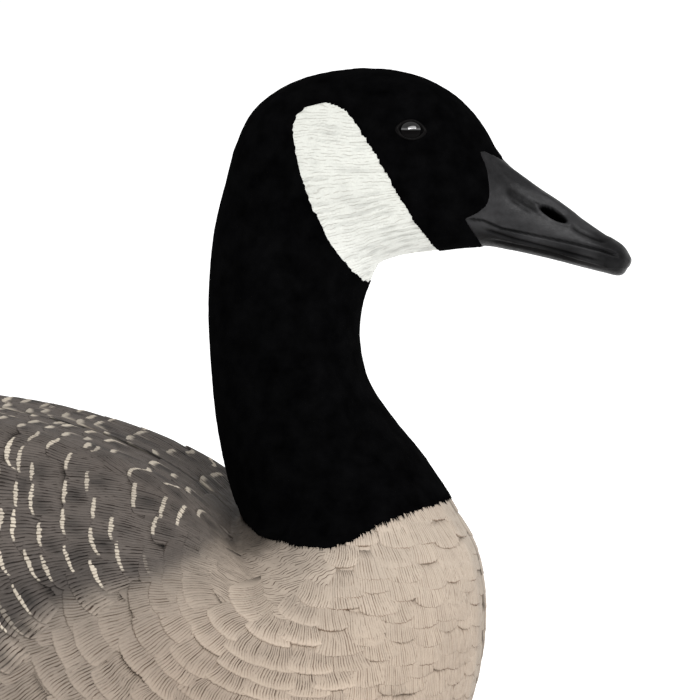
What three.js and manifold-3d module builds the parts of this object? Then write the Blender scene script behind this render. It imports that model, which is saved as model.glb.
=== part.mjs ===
// A life-size goose decoy: one moulded bird with an upright neck, folded wings and a flat
// underside, and two round eyes set into sockets in the head.
// Millimetres. +X is the way the bill points, +Y the bird's left, +Z up. The origin is on the
// flat underside, below the body.
import * as THREE from 'three';
import { mergeVertices } from 'three/addons/utils/BufferGeometryUtils.js';
import Module from 'manifold-3d';

const wasm = await Module();
wasm.setup();
const { smoothstep } = THREE.MathUtils;

// Driving dimensions
const LENGTH = 663; // tip of the bill to tip of the tail
const WIDTH = 237; // across both wings, without their raised edge
const HEIGHT = 313; // underside to crown
const SHOULDER_RISE = 5.5; // how far each shoulder stands above the middle of the back
const WING_STEP = 2.6; // the folded wing's edge above the flank
const FEATHER_STEP = 1.1; // a body feather's tip above the next one's root
const FEATHER_FULL_LENGTH = 12; // shorter feathers, near the neck, stand out less
const EYE_DIAMETER = 10;
const EYE_BULGE = 1.9; // how far the eye stands out of the head
const EYE_CLEARANCE = 0.3;
const EYELID_THICKNESS = 2.4;
const EYELID_INSET = -0.1; // the lid's middle below the head's surface
const NOSTRIL_LENGTH = 12;
const NOSTRIL_HEIGHT = 3.6;
const NOSTRIL_DEPTH = 2.2;
const NOSTRIL_HOLLOW_LENGTH = 31; // the shallow hollow round the nostril
const NOSTRIL_HOLLOW_HEIGHT = 8;
const NOSTRIL_HOLLOW_DEPTH = 0.8;
const MOUTH_GROOVE_WIDTH = 0.9;
const MOUTH_GROOVE_DEPTH = 1.1;
const FLIGHT_FEATHERS = 5; // on each wing
const FLIGHT_FEATHER_THICKNESS = 3;
const FLIGHT_FEATHER_WIDTH = 22;
const TAIL_FEATHERS = 11;
const TAIL_FEATHER_THICKNESS = 2.6;
const TAIL_FEATHER_WIDTH = 23;
const TAIL_FEATHER_LENGTH = 90;
const TAIL_SPREAD = 50; // degrees between the outermost tail feathers

// Mesh fineness
const COLUMNS_PER_SIDE = 19;
const WING_COLUMNS = 11; // of those, from the middle of the back to the wing's edge

// The bird's form, drawn at these sizes and stretched to the driving ones
const DRAWN_LENGTH = 663;
const DRAWN_WIDTH = 237;
const DRAWN_HEIGHT = 313;

// One row per cross-section, from the bill's tip to the rump: x and z of the upper line, x and z of
// the lower line, half width, where between them the section is widest (0 low, 1 high), and the
// fullness of its upper and lower half (2 is an ellipse)
const SECTIONS = [
  // bill
  [338.2, 246.6, 338.2, 244.8, 3.5, 0.5, 2, 2],
  [335.3, 251.0, 335.2, 240.6, 8.5, 0.5, 2, 2.2],
  [327.8, 255.8, 328.6, 241.6, 10.4, 0.42, 1.9, 2.3],
  [319.6, 261.1, 321.5, 243.3, 10.9, 0.36, 1.8, 2.3],
  [310.3, 267.8, 313.2, 245.4, 11.4, 0.32, 1.7, 2.3],
  [301.3, 274.1, 304.6, 247.4, 12.4, 0.3, 1.7, 2.3],
  [294.5, 279.1, 296.0, 249.1, 13.8, 0.32, 1.8, 2.2],
  [289.4, 285.5, 287.4, 250.5, 16.0, 0.36, 1.9, 2.2],
  // head
  [284.4, 294.0, 278.0, 250.0, 19.2, 0.42, 2, 2.2],
  [275.4, 303.5, 269.0, 248.9, 22.4, 0.46, 2, 2.2],
  [262.8, 310.3, 260.0, 247.7, 24.6, 0.46, 2, 2.2],
  [248.4, 313.1, 253.1, 246.2, 25.8, 0.46, 2, 2.2],
  [232.1, 312.3, 248.4, 244.3, 26.2, 0.46, 2, 2.2],
  [215.7, 307.6, 245.9, 240.4, 25.8, 0.48, 2, 2.1],
  [203.3, 298.6, 244.0, 236.4, 25.2, 0.5, 2, 2],
  [196.7, 286.0, 242.6, 232.8, 24.6, 0.5, 2, 2],
  // neck
  [193.0, 272.3, 241.5, 228.8, 24.2, 0.5, 2, 2],
  [189.3, 258.2, 240.8, 224.5, 24.2, 0.5, 2, 2],
  [187.4, 244.5, 240.4, 220.5, 24.4, 0.5, 2, 2],
  [186.6, 230.0, 240.4, 216.2, 25.0, 0.5, 2, 2],
  [186.9, 215.4, 241.5, 208.2, 26.0, 0.5, 2, 2],
  [188.0, 200.9, 244.4, 199.6, 27.6, 0.5, 2, 2],
  [189.8, 184.6, 251.7, 188.5, 30.0, 0.5, 2, 2],
  [192.7, 170.0, 263.0, 174.9, 33.6, 0.5, 2, 2],
  [197.1, 155.5, 272.8, 160.3, 39.0, 0.5, 2, 2],
  // breast, fanning round the crease behind the neck
  [198.2, 151.7, 277.4, 152.2, 43.0, 0.5, 2, 2],
  [197.8, 151.3, 282.6, 142.6, 48.0, 0.5, 2, 2],
  [197.3, 151.1, 285.4, 131.4, 54.0, 0.5, 2, 2],
  [196.8, 151.0, 286.4, 118.4, 60.5, 0.5, 2, 2],
  [196.2, 151.1, 285.4, 103.0, 67.5, 0.5, 2, 2],
  [195.0, 151.9, 281.6, 86.0, 75.0, 0.5, 2, 2],
  [190.0, 156.6, 274.6, 69.0, 83.0, 0.51, 2, 2.05],
  [179.0, 165.2, 263.6, 51.0, 90.5, 0.52, 2, 2.1],
  // body
  [162.0, 174.6, 247.4, 33.0, 97.5, 0.52, 2, 2.15],
  [139.0, 182.6, 225.0, 16.5, 104.5, 0.52, 2, 2.2],
  [108.0, 188.6, 194.0, 3.0, 111.0, 0.52, 2, 2.25],
  [71.0, 191.0, 153.0, -6.0, 116.0, 0.51, 2, 2.3],
  [32.0, 190.2, 104.0, -11.5, 118.5, 0.5, 2, 2.3],
  [-8.0, 187.3, 49.0, -13.5, 118.0, 0.5, 2, 2.3],
  [-48.0, 182.6, -10.0, -12.5, 115.5, 0.5, 2, 2.3],
  [-88.0, 176.6, -68.0, -8.0, 109.0, 0.5, 2, 2.2],
  [-127.0, 169.6, -119.0, 1.5, 99.5, 0.51, 2, 2.15],
  [-165.0, 161.8, -163.0, 17.0, 87.0, 0.52, 2, 2.1],
  [-201.0, 153.8, -201.0, 38.0, 73.0, 0.54, 2, 2],
  [-234.0, 146.0, -234.0, 62.0, 58.0, 0.56, 2, 2],
  [-261.0, 139.0, -261.0, 84.0, 46.5, 0.58, 2.1, 1.9],
  // rump
  [-280.0, 133.0, -280.0, 101.0, 38.0, 0.6, 2.3, 1.9],
  [-294.0, 128.0, -294.0, 112.0, 28.0, 0.58, 2.4, 2],
  [-303.0, 124.0, -303.0, 117.5, 12.0, 0.5, 2, 2],
];
const COLLAR = 24; // the section where the neck's black ends
const LAST = SECTIONS.length - 1;

// The angle of the folded wing's lower edge, counted from the middle of the back, by section
const WING_EDGE = [
  [0, 1.2], [20, 1.1], [27, 0.8], [30.5, 0.76], [32, 0.92], [33, 1.04], [34, 1.14], [35, 1.3],
  [36.5, 1.48], [38, 1.55], [41, 1.56], [43, 1.5], [44, 1.36], [46, 1.3], [48, 1.3],
];

// Uniform Catmull-Rom through the sections, at a fractional section number
function section(t) {
  const i = Math.min(Math.floor(t), LAST - 1);
  const f = t - i;
  const [a, b, c, d] = [i - 1, i, i + 1, i + 2].map((k) => SECTIONS[THREE.MathUtils.clamp(k, 0, LAST)]);
  return b.map((_, k) => 0.5 * (2 * b[k] + (c[k] - a[k]) * f
    + (2 * a[k] - 5 * b[k] + 4 * c[k] - d[k]) * f * f
    + (3 * b[k] - a[k] - 3 * c[k] + d[k]) * f * f * f));
}

// A value from a table of [section number, value] rows, straight between them
function along(table, t) {
  const next = Math.max(1, table.findIndex(([at]) => at >= t));
  const [t0, v0] = table[next - 1];
  const [t1, v1] = table[next];
  return THREE.MathUtils.lerp(v0, v1, (t - t0) / (t1 - t0));
}

const signedPower = (value, power) => Math.sign(value) * Math.abs(value) ** power;

// How much of the shoulders' rise there is at a point of the upper body
function shoulderRise(t, y) {
  const lengthwise = smoothstep(t, 29.5, 32.5) * (1 - smoothstep(t, 36, 40));
  const middle = 0.38 * (WIDTH / 2);
  const spread = 0.17 * (WIDTH / 2);
  return SHOULDER_RISE * lengthwise * Math.exp(-(((Math.abs(y) - middle) / spread) ** 2));
}

// A point of the smooth form: t is the section number, and angle goes from 0 at the upper line to
// pi at the lower line on the right side, and to -pi on the left
function formPoint(t, angle) {
  const [ux, uz, lx, lz, half, widest, upperFull, lowerFull] = section(t);
  const upper = Math.cos(angle) >= 0;
  const power = 2 / (upper ? upperFull : lowerFull);
  const cos = signedPower(Math.cos(angle), power);
  const sin = signedPower(Math.sin(angle), power);
  const cx = lx + widest * (ux - lx);
  const cz = lz + widest * (uz - lz);
  const x = cx + cos * (upper ? ux - cx : cx - lx);
  const z = cz + cos * (upper ? uz - cz : cz - lz);
  const point = new THREE.Vector3(
    x * LENGTH / DRAWN_LENGTH,
    -half * sin * WIDTH / DRAWN_WIDTH,
    z * HEIGHT / DRAWN_HEIGHT,
  );
  if (upper) point.z += shoulderRise(t, point.y) * Math.cos(angle) ** 0.5;
  return point;
}

// The outward normal of the smooth form
function formNormal(t, angle) {
  const step = 0.02;
  const before = Math.max(0, t - step);
  const after = Math.min(LAST, t + step);
  const lengthwise = formPoint(after, angle).sub(formPoint(before, angle));
  const round = formPoint(t, angle + step).sub(formPoint(t, angle - step));
  return lengthwise.cross(round).normalize();
}

// The form's own point on the right side that is nearest to x and z in the side view
function rightSidePoint(x, z, fromSection, toSection) {
  let best = { gap: Infinity };
  const tSteps = 120;
  const angleSteps = 90;
  for (let i = 0; i <= tSteps; i += 1) {
    const t = THREE.MathUtils.lerp(fromSection, toSection, i / tSteps);
    for (let j = 1; j < angleSteps; j += 1) {
      const angle = Math.PI * j / angleSteps;
      const point = formPoint(t, angle);
      const gap = Math.hypot(point.x - x * LENGTH / DRAWN_LENGTH, point.z - z * HEIGHT / DRAWN_HEIGHT);
      if (gap < best.gap) best = { gap, t, angle, point };
    }
  }
  return { point: best.point, normal: formNormal(best.t, best.angle) };
}

// Turns rings of points, each with the same number, into a closed solid with flat fans at its ends
function loft(rings) {
  const count = rings[0].length;
  const points = rings.flat();
  const triangles = [];
  for (let i = 0; i + 1 < rings.length; i += 1) {
    for (let j = 0; j < count; j += 1) {
      const next = (j + 1) % count;
      const [a, b, c, d] = [i * count + j, i * count + next, (i + 1) * count + next, (i + 1) * count + j];
      triangles.push(a, b, c, a, c, d);
    }
  }
  const capEnd = (ring, flip) => {
    const middle = points.length;
    const sum = rings[ring].reduce((total, p) => total.add(p), new THREE.Vector3());
    points.push(sum.divideScalar(count));
    for (let j = 0; j < count; j += 1) {
      const pair = [ring * count + j, ring * count + (j + 1) % count];
      if (flip) pair.reverse();
      triangles.push(middle, pair[1], pair[0]);
    }
  };
  capEnd(0, false);
  capEnd(rings.length - 1, true);
  return solidFrom(points.flatMap((p) => [p.x, p.y, p.z]), triangles);
}

// A manifold solid from flat arrays of coordinates and triangles, with its faces pointing out
function solidFrom(coordinates, triangles) {
  const corner = (k) => new THREE.Vector3().fromArray(coordinates, 3 * triangles[k]);
  let volume = 0;
  for (let k = 0; k < triangles.length; k += 3) {
    volume += corner(k).dot(corner(k + 1).cross(corner(k + 2)));
  }
  const outward = volume > 0 ? triangles : triangles.toReversed();
  return new wasm.Manifold(new wasm.Mesh({
    numProp: 3,
    vertProperties: Float32Array.from(coordinates),
    triVerts: Uint32Array.from(outward),
  }));
}

// A manifold solid from a closed three.js geometry, placed by a matrix
function solidFromGeometry(geometry, matrix) {
  const bare = geometry.clone().applyMatrix4(matrix);
  bare.deleteAttribute('normal');
  bare.deleteAttribute('uv');
  const merged = mergeVertices(bare);
  return solidFrom(Array.from(merged.attributes.position.array), Array.from(merged.index.array));
}

function geometryFrom(solid) {
  const mesh = solid.getMesh();
  const geometry = new THREE.BufferGeometry();
  geometry.setAttribute('position', new THREE.BufferAttribute(Float32Array.from(mesh.vertProperties), 3));
  geometry.setIndex(Array.from(mesh.triVerts));
  geometry.computeVertexNormals();
  return geometry;
}

// The angles of the mesh's columns, with one column just above the wing's edge and one just below
function columnAngle(column, t) {
  const edge = along(WING_EDGE, t);
  const gap = 0.03;
  const side = Math.sign(column);
  const step = Math.abs(column);
  if (step <= WING_COLUMNS) return side * edge * step / WING_COLUMNS;
  const below = (step - WING_COLUMNS - 1) / (COLUMNS_PER_SIDE - WING_COLUMNS - 1);
  return side * THREE.MathUtils.lerp(edge + gap, Math.PI, below);
}

// How strongly the carved feathers stand out: not on the neck, the underside or the rump's end
function featherStrength(t, angle) {
  const lengthwise = smoothstep(t, COLLAR + 2, COLLAR + 6) * (1 - smoothstep(t, LAST - 3, LAST - 1));
  const lowerSide = 1 - smoothstep(Math.abs(angle), 1.9, 2.5);
  const ahead = Math.min(t + 1, LAST);
  const room = formPoint(t, angle).distanceTo(formPoint(ahead, angle)) / FEATHER_FULL_LENGTH;
  return lengthwise * lowerSide * Math.min(1, room);
}

// How strongly the wing's edge stands above the flank
function wingStrength(t) {
  return smoothstep(t, 31, 35) * (1 - smoothstep(t, 43.5, 45.5));
}

// One ring of the bird's mesh. lift is 0 at a feather row's root and 1 at its tips, and the tips
// of neighbouring feathers are staggered by stagger sections
function birdRing(t, lift, stagger, row) {
  const ring = [];
  for (let column = 1 - COLUMNS_PER_SIDE; column <= COLUMNS_PER_SIDE; column += 1) {
    const forward = (Math.abs(column) + row) % 2 ? -0.5 : 0.5;
    const at = THREE.MathUtils.clamp(t + stagger * forward, 0, LAST);
    const angle = columnAngle(column, at);
    const onWing = Math.abs(column) <= WING_COLUMNS;
    const raise = FEATHER_STEP * lift * featherStrength(at, angle)
      + (onWing ? WING_STEP * wingStrength(at) : 0);
    const point = formPoint(at, angle);
    if (raise > 0) point.addScaledVector(formNormal(at, angle), raise);
    ring.push(point);
  }
  return ring;
}

// The moulded skin from bill to rump, with its rows of feathers from the collar back
function birdSkin() {
  const rings = [];
  const smoothRows = 28;
  for (let i = 0; i < smoothRows; i += 1) {
    rings.push(birdRing((COLLAR + 1) * i / smoothRows, 0, 0, 0));
  }
  const featherRows = 19;
  const rowLength = (LAST - COLLAR - 2) / featherRows;
  const stepLength = 0.07;
  const stagger = 0.32;
  for (let row = 0; row < featherRows; row += 1) {
    const start = COLLAR + 1 + row * rowLength;
    const grown = smoothstep(start, COLLAR + 3, COLLAR + 7) * (1 - smoothstep(start, LAST - 4, LAST - 2));
    rings.push(birdRing(start + stepLength, 0, stagger * grown, row));
    rings.push(birdRing(start + rowLength, 1, stagger * grown, row + 1));
  }
  rings.push(birdRing(LAST - 0.4, 0, 0, 0));
  rings.push(birdRing(LAST, 0, 0, 0));
  return loft(rings);
}

// A feather blade along a path, which gives its middle and its upward direction at shares from 0 to
// 1 of its length. It is crowned along its shaft, its last tipLength is rounded, and it reaches down
// by depth until it thins out at the tip
function featherBlade({ path, length, width, thickness, depth, tipLength }) {
  const tipStart = 1 - tipLength / length;
  const shares = [0, tipStart / 2, tipStart, ...[0.55, 0.85, 1].map((q) => tipStart + q * (1 - tipStart))];
  const rings = shares.map((share) => {
    const { middle, up } = path(share);
    const forward = path(Math.min(1, share + 0.01)).middle.sub(path(Math.max(0, share - 0.01)).middle);
    const side = new THREE.Vector3().crossVectors(up, forward).normalize();
    const top = new THREE.Vector3().crossVectors(forward, side).normalize();
    const intoTip = Math.max(0, (share - tipStart) / (1 - tipStart));
    const half = width / 2 * Math.max(0.15, Math.sqrt(1 - intoTip ** 2));
    const below = THREE.MathUtils.lerp(depth, 0.3 * thickness, intoTip ** 2);
    const [edge, crown] = [0.2 * thickness, 0.5 * thickness];
    const corner = (across, height) => middle.clone()
      .addScaledVector(side, across * half)
      .addScaledVector(top, height);
    return [corner(-1, edge), corner(0, crown), corner(1, edge), corner(1, -below), corner(-1, -below)];
  });
  return loft(rings);
}

// The long wing feathers of both sides. They follow the body towards the rump, the lowest one
// reaching furthest back and each next one lying on top of it
function flightFeathers() {
  const solids = [];
  for (const side of [-1, 1]) {
    for (let i = 0; i < FLIGHT_FEATHERS; i += 1) {
      const share = i / (FLIGHT_FEATHERS - 1);
      const root = { t: THREE.MathUtils.lerp(41.4, 40.4, share), angle: THREE.MathUtils.lerp(1.36, 0.82, share) };
      const tip = { t: THREE.MathUtils.lerp(47.2, 43.9, share), angle: THREE.MathUtils.lerp(0.62, 0.42, share) };
      const proud = THREE.MathUtils.lerp(0.3, 1, share) * FLIGHT_FEATHER_THICKNESS;
      const path = (along) => {
        const t = THREE.MathUtils.lerp(root.t, tip.t, along);
        const angle = THREE.MathUtils.lerp(root.angle, tip.angle, along);
        const up = formNormal(t, angle);
        const lift = WING_STEP * wingStrength(t)
          + THREE.MathUtils.lerp(-0.6 * FLIGHT_FEATHER_THICKNESS, proud, smoothstep(along, 0, 0.4));
        const middle = formPoint(t, angle).addScaledVector(up, lift);
        middle.y *= -side;
        up.y *= -side;
        return { middle, up };
      };
      solids.push(featherBlade({
        path,
        length: path(0).middle.distanceTo(path(1).middle),
        width: FLIGHT_FEATHER_WIDTH,
        thickness: FLIGHT_FEATHER_THICKNESS,
        depth: 2 * FLIGHT_FEATHER_THICKNESS + WING_STEP,
        tipLength: 1.5 * FLIGHT_FEATHER_WIDTH,
      }));
    }
  }
  return solids;
}

// The tail's fan, its outer feathers lower than the middle ones, so that each overlaps the next
function tailFeathers() {
  const middleFeather = (TAIL_FEATHERS - 1) / 2;
  const tipX = -325 * LENGTH / DRAWN_LENGTH;
  const solids = [];
  for (let i = 0; i < TAIL_FEATHERS; i += 1) {
    const place = (i - middleFeather) / middleFeather;
    const turn = THREE.MathUtils.degToRad(place * TAIL_SPREAD / 2);
    const root = new THREE.Vector3(
      tipX + TAIL_FEATHER_LENGTH,
      place * 0.17 * WIDTH / 2,
      123 * HEIGHT / DRAWN_HEIGHT - 0.35 * TAIL_FEATHER_THICKNESS * Math.abs(i - middleFeather),
    );
    const direction = new THREE.Vector3(-Math.cos(turn), Math.sin(turn), -0.02).normalize();
    const up = new THREE.Vector3(0, 0.1 * place, 1);
    solids.push(featherBlade({
      path: (along) => ({ middle: root.clone().addScaledVector(direction, along * TAIL_FEATHER_LENGTH), up }),
      length: TAIL_FEATHER_LENGTH,
      width: TAIL_FEATHER_WIDTH,
      thickness: TAIL_FEATHER_THICKNESS,
      depth: TAIL_FEATHER_THICKNESS,
      tipLength: 0.7 * TAIL_FEATHER_WIDTH,
    }));
  }
  return solids;
}

// Where the right eye sits, and a matrix that looks out of the head there
const eyeSpot = rightSidePoint(262.5, 292.3, 8, 12);

function outwardMatrix(spot, inset, side, roll = 0) {
  const normal = spot.normal.clone();
  const lengthwise = new THREE.Vector3(Math.cos(roll), 0, Math.sin(roll));
  const up = new THREE.Vector3().crossVectors(normal, lengthwise).normalize();
  lengthwise.crossVectors(up, normal).normalize();
  const centre = spot.point.clone().addScaledVector(normal, -inset);
  const matrix = new THREE.Matrix4().makeBasis(lengthwise, up, normal).setPosition(centre);
  if (side > 0) matrix.premultiply(new THREE.Matrix4().makeScale(1, -1, 1));
  return matrix;
}

const eyeCentreInset = EYE_DIAMETER / 2 - EYE_BULGE;

function eyeball(side, diameter) {
  const matrix = outwardMatrix(eyeSpot, eyeCentreInset, side);
  return solidFromGeometry(new THREE.SphereGeometry(diameter / 2, 14, 9), matrix);
}

// The raised lid round an eye, wider than it is high
function eyelid(side) {
  const matrix = outwardMatrix(eyeSpot, EYELID_INSET, side, THREE.MathUtils.degToRad(-8));
  const ring = new THREE.TorusGeometry(EYE_DIAMETER / 2, EYELID_THICKNESS / 2, 6, 14).scale(1.02, 0.8, 0.9);
  return solidFromGeometry(ring, matrix);
}

// The nostril and the shallow hollow that it lies in, sloping with the bill
function nostrilCuts(side) {
  const spot = rightSidePoint(312.5, 261.6, 2, 6);
  const hollowSpot = rightSidePoint(307.5, 264.2, 2, 7);
  const slope = THREE.MathUtils.degToRad(-31);
  const pit = new THREE.SphereGeometry(1, 12, 6)
    .scale(NOSTRIL_LENGTH / 2, NOSTRIL_HEIGHT / 2, NOSTRIL_DEPTH);
  const hollow = new THREE.SphereGeometry(1, 12, 8)
    .scale(NOSTRIL_HOLLOW_LENGTH / 2, NOSTRIL_HOLLOW_HEIGHT / 2, NOSTRIL_HOLLOW_DEPTH);
  return [
    solidFromGeometry(hollow, outwardMatrix(hollowSpot, 0.1, side, slope)),
    solidFromGeometry(pit, outwardMatrix(spot, 0.4, side, slope)),
  ];
}

// The groove between the upper and the lower half of the bill, on one side
function mouthGroove(side) {
  const line = new THREE.CatmullRomCurve3([
    [281.5, 260.2], [288, 259.6], [294.5, 257.2], [306.4, 254.2], [319.5, 251.2], [329.4, 248.6], [334.5, 247],
  ].map(([x, z]) => rightSidePoint(x, z, 0.5, 9).point));
  const rings = line.getPoints(12).map((point) => {
    const corner = (across, up) => new THREE.Vector3(
      point.x,
      -side * (point.y - across),
      point.z + up * MOUTH_GROOVE_WIDTH / 2,
    );
    return [corner(2, 1), corner(2, -1), corner(-MOUTH_GROOVE_DEPTH, -1), corner(-MOUTH_GROOVE_DEPTH, 1)];
  });
  return loft(rings);
}

// The whole moulded bird: skin, flight and tail feathers and lids joined, then the sockets,
// nostrils and mouth cut, and the underside trimmed flat
function mouldedBird() {
  const joined = wasm.Manifold.union([
    birdSkin(), ...flightFeathers(), ...tailFeathers(), eyelid(-1), eyelid(1),
  ]);
  const belowGround = solidFromGeometry(
    new THREE.BoxGeometry(2 * LENGTH, 2 * WIDTH, HEIGHT),
    new THREE.Matrix4().makeTranslation(0, 0, -HEIGHT / 2),
  );
  const socket = EYE_DIAMETER + 2 * EYE_CLEARANCE;
  const cuts = [-1, 1].flatMap((side) => [
    eyeball(side, socket), ...nostrilCuts(side), mouthGroove(side),
  ]);
  return joined.subtract(wasm.Manifold.union([belowGround, ...cuts]));
}

const paintedPlastic = new THREE.MeshStandardMaterial({ color: 0x9b8d7f, roughness: 0.75, metalness: 0 });
const glossyBlack = new THREE.MeshStandardMaterial({ color: 0x0b0a0a, roughness: 0.06, metalness: 0 });

function namedMesh(name, solid, material) {
  const mesh = new THREE.Mesh(geometryFrom(solid), material);
  mesh.name = name;
  return mesh;
}

const decoy = new THREE.Group();
decoy.add(namedMesh('moulded_goose', mouldedBird(), paintedPlastic));
decoy.add(namedMesh('right_eye', eyeball(-1, EYE_DIAMETER), glossyBlack));
decoy.add(namedMesh('left_eye', eyeball(1, EYE_DIAMETER), glossyBlack));

export default decoy;
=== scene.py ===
# A life-size goose decoy with an upright neck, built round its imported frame. It has a moulded and
# painted body with carved feathers, a flocked black head and neck, a satin bill and glossy eyes.
# Tables and functions are in millimetres, in the frame's own axes: +X is the way the bill points,
# +Y the bird's left, +Z up. Meshes are made in metres.
import itertools
import math
import bpy
import numpy as np
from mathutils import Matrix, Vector


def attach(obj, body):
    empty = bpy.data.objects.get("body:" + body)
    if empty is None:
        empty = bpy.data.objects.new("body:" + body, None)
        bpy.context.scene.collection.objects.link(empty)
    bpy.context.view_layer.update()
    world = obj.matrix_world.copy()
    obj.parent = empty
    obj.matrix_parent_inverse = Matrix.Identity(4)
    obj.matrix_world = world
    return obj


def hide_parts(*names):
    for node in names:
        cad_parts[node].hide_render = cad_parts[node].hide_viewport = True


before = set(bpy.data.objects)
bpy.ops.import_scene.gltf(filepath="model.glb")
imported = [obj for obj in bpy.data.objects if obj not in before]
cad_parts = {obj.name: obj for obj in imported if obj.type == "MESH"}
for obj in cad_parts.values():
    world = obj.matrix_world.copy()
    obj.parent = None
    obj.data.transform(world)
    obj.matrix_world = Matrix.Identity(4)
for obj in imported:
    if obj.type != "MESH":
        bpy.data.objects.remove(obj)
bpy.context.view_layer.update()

MM = 0.001
RIGHT, LEFT = -1, 1
SIDE_NAME = {RIGHT: "right", LEFT: "left"}
MIRROR = {RIGHT: np.array((1, 1, 1)), LEFT: np.array((1, -1, 1))}

# The camera, as in the photograph. Its angles are its azimuth in degrees, counted from the bird's
# right towards its front, and its elevation
CAMERA_ANGLES = (9, 5)
CAMERA_DISTANCE = 1400
CAMERA_TARGET = (237.5, 0, 212.5)
CAMERA_LENS = 200
CAMERA_SENSOR = 36

# The light: a large soft box, its angles counted as the camera's, its distance and size in metres
KEY_POWER = 68
KEY_TARGET = (150, 0, 180)
KEY_ANGLES = (32, 50)
KEY_DISTANCE = 3
KEY_SIZE = (3.4, 1.1)
HORIZON_LEVEL = 1.08
HORIZON_BAND = (0.12, 0.4)
SKY_LEVEL = 0.5
FLOOR_PAINT = 0.6
FLOOR_FADE = (0.2, 0.42)
FLOOR_GLOW = 0.95

# The bird's form: one row per cross-section from the bill's tip to the rump, with x and z of the
# upper line, x and z of the lower line, half width, where between them the section is widest, and
# the fullness of its upper and lower half
SECTIONS = np.array([
    # bill
    (338.2, 246.6, 338.2, 244.8, 3.5, 0.5, 2, 2),
    (335.3, 251.0, 335.2, 240.6, 8.5, 0.5, 2, 2.2),
    (327.8, 255.8, 328.6, 241.6, 10.4, 0.42, 1.9, 2.3),
    (319.6, 261.1, 321.5, 243.3, 10.9, 0.36, 1.8, 2.3),
    (310.3, 267.8, 313.2, 245.4, 11.4, 0.32, 1.7, 2.3),
    (301.3, 274.1, 304.6, 247.4, 12.4, 0.3, 1.7, 2.3),
    (294.5, 279.1, 296.0, 249.1, 13.8, 0.32, 1.8, 2.2),
    (289.4, 285.5, 287.4, 250.5, 16.0, 0.36, 1.9, 2.2),
    # head
    (284.4, 294.0, 278.0, 250.0, 19.2, 0.42, 2, 2.2),
    (275.4, 303.5, 269.0, 248.9, 22.4, 0.46, 2, 2.2),
    (262.8, 310.3, 260.0, 247.7, 24.6, 0.46, 2, 2.2),
    (248.4, 313.1, 253.1, 246.2, 25.8, 0.46, 2, 2.2),
    (232.1, 312.3, 248.4, 244.3, 26.2, 0.46, 2, 2.2),
    (215.7, 307.6, 245.9, 240.4, 25.8, 0.48, 2, 2.1),
    (203.3, 298.6, 244.0, 236.4, 25.2, 0.5, 2, 2),
    (196.7, 286.0, 242.6, 232.8, 24.6, 0.5, 2, 2),
    # neck
    (193.0, 272.3, 241.5, 228.8, 24.2, 0.5, 2, 2),
    (189.3, 258.2, 240.8, 224.5, 24.2, 0.5, 2, 2),
    (187.4, 244.5, 240.4, 220.5, 24.4, 0.5, 2, 2),
    (186.6, 230.0, 240.4, 216.2, 25.0, 0.5, 2, 2),
    (186.9, 215.4, 241.5, 208.2, 26.0, 0.5, 2, 2),
    (188.0, 200.9, 244.4, 199.6, 27.6, 0.5, 2, 2),
    (189.8, 184.6, 251.7, 188.5, 30.0, 0.5, 2, 2),
    (192.7, 170.0, 263.0, 174.9, 33.6, 0.5, 2, 2),
    (197.1, 155.5, 272.8, 160.3, 39.0, 0.5, 2, 2),
    # breast, fanning round the crease behind the neck
    (198.2, 151.7, 277.4, 152.2, 43.0, 0.5, 2, 2),
    (197.8, 151.3, 282.6, 142.6, 48.0, 0.5, 2, 2),
    (197.3, 151.1, 285.4, 131.4, 54.0, 0.5, 2, 2),
    (196.8, 151.0, 286.4, 118.4, 60.5, 0.5, 2, 2),
    (196.2, 151.1, 285.4, 103.0, 67.5, 0.5, 2, 2),
    (195.0, 151.9, 281.6, 86.0, 75.0, 0.5, 2, 2),
    (190.0, 156.6, 274.6, 69.0, 83.0, 0.51, 2, 2.05),
    (179.0, 165.2, 263.6, 51.0, 90.5, 0.52, 2, 2.1),
    # body
    (162.0, 174.6, 247.4, 33.0, 97.5, 0.52, 2, 2.15),
    (139.0, 182.6, 225.0, 16.5, 104.5, 0.52, 2, 2.2),
    (108.0, 188.6, 194.0, 3.0, 111.0, 0.52, 2, 2.25),
    (71.0, 191.0, 153.0, -6.0, 116.0, 0.51, 2, 2.3),
    (32.0, 190.2, 104.0, -11.5, 118.5, 0.5, 2, 2.3),
    (-8.0, 187.3, 49.0, -13.5, 118.0, 0.5, 2, 2.3),
    (-48.0, 182.6, -10.0, -12.5, 115.5, 0.5, 2, 2.3),
    (-88.0, 176.6, -68.0, -8.0, 109.0, 0.5, 2, 2.2),
    (-127.0, 169.6, -119.0, 1.5, 99.5, 0.51, 2, 2.15),
    (-165.0, 161.8, -163.0, 17.0, 87.0, 0.52, 2, 2.1),
    (-201.0, 153.8, -201.0, 38.0, 73.0, 0.54, 2, 2),
    (-234.0, 146.0, -234.0, 62.0, 58.0, 0.56, 2, 2),
    (-261.0, 139.0, -261.0, 84.0, 46.5, 0.58, 2.1, 1.9),
    # rump
    (-280.0, 133.0, -280.0, 101.0, 38.0, 0.6, 2.3, 1.9),
    (-294.0, 128.0, -294.0, 112.0, 28.0, 0.58, 2.4, 2),
    (-303.0, 124.0, -303.0, 117.5, 12.0, 0.5, 2, 2),
])
LAST = len(SECTIONS) - 1
BODY_WIDTH = 237
SHOULDER_RISE = 5.5
WING_STEP = 2.6

# The lower edge of the folded wing: (section, angle from the middle of the back)
WING_EDGE = np.array([
    (0, 0.44), (27, 0.44), (30.8, 0.59), (31.8, 0.84), (32.75, 1.01), (33.4, 1.09), (34, 1.13),
    (34.75, 1.24), (35.1, 1.31), (36.5, 1.48), (38, 1.55), (41, 1.56), (43, 1.5), (44, 1.36), (48, 1.3),
])

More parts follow.
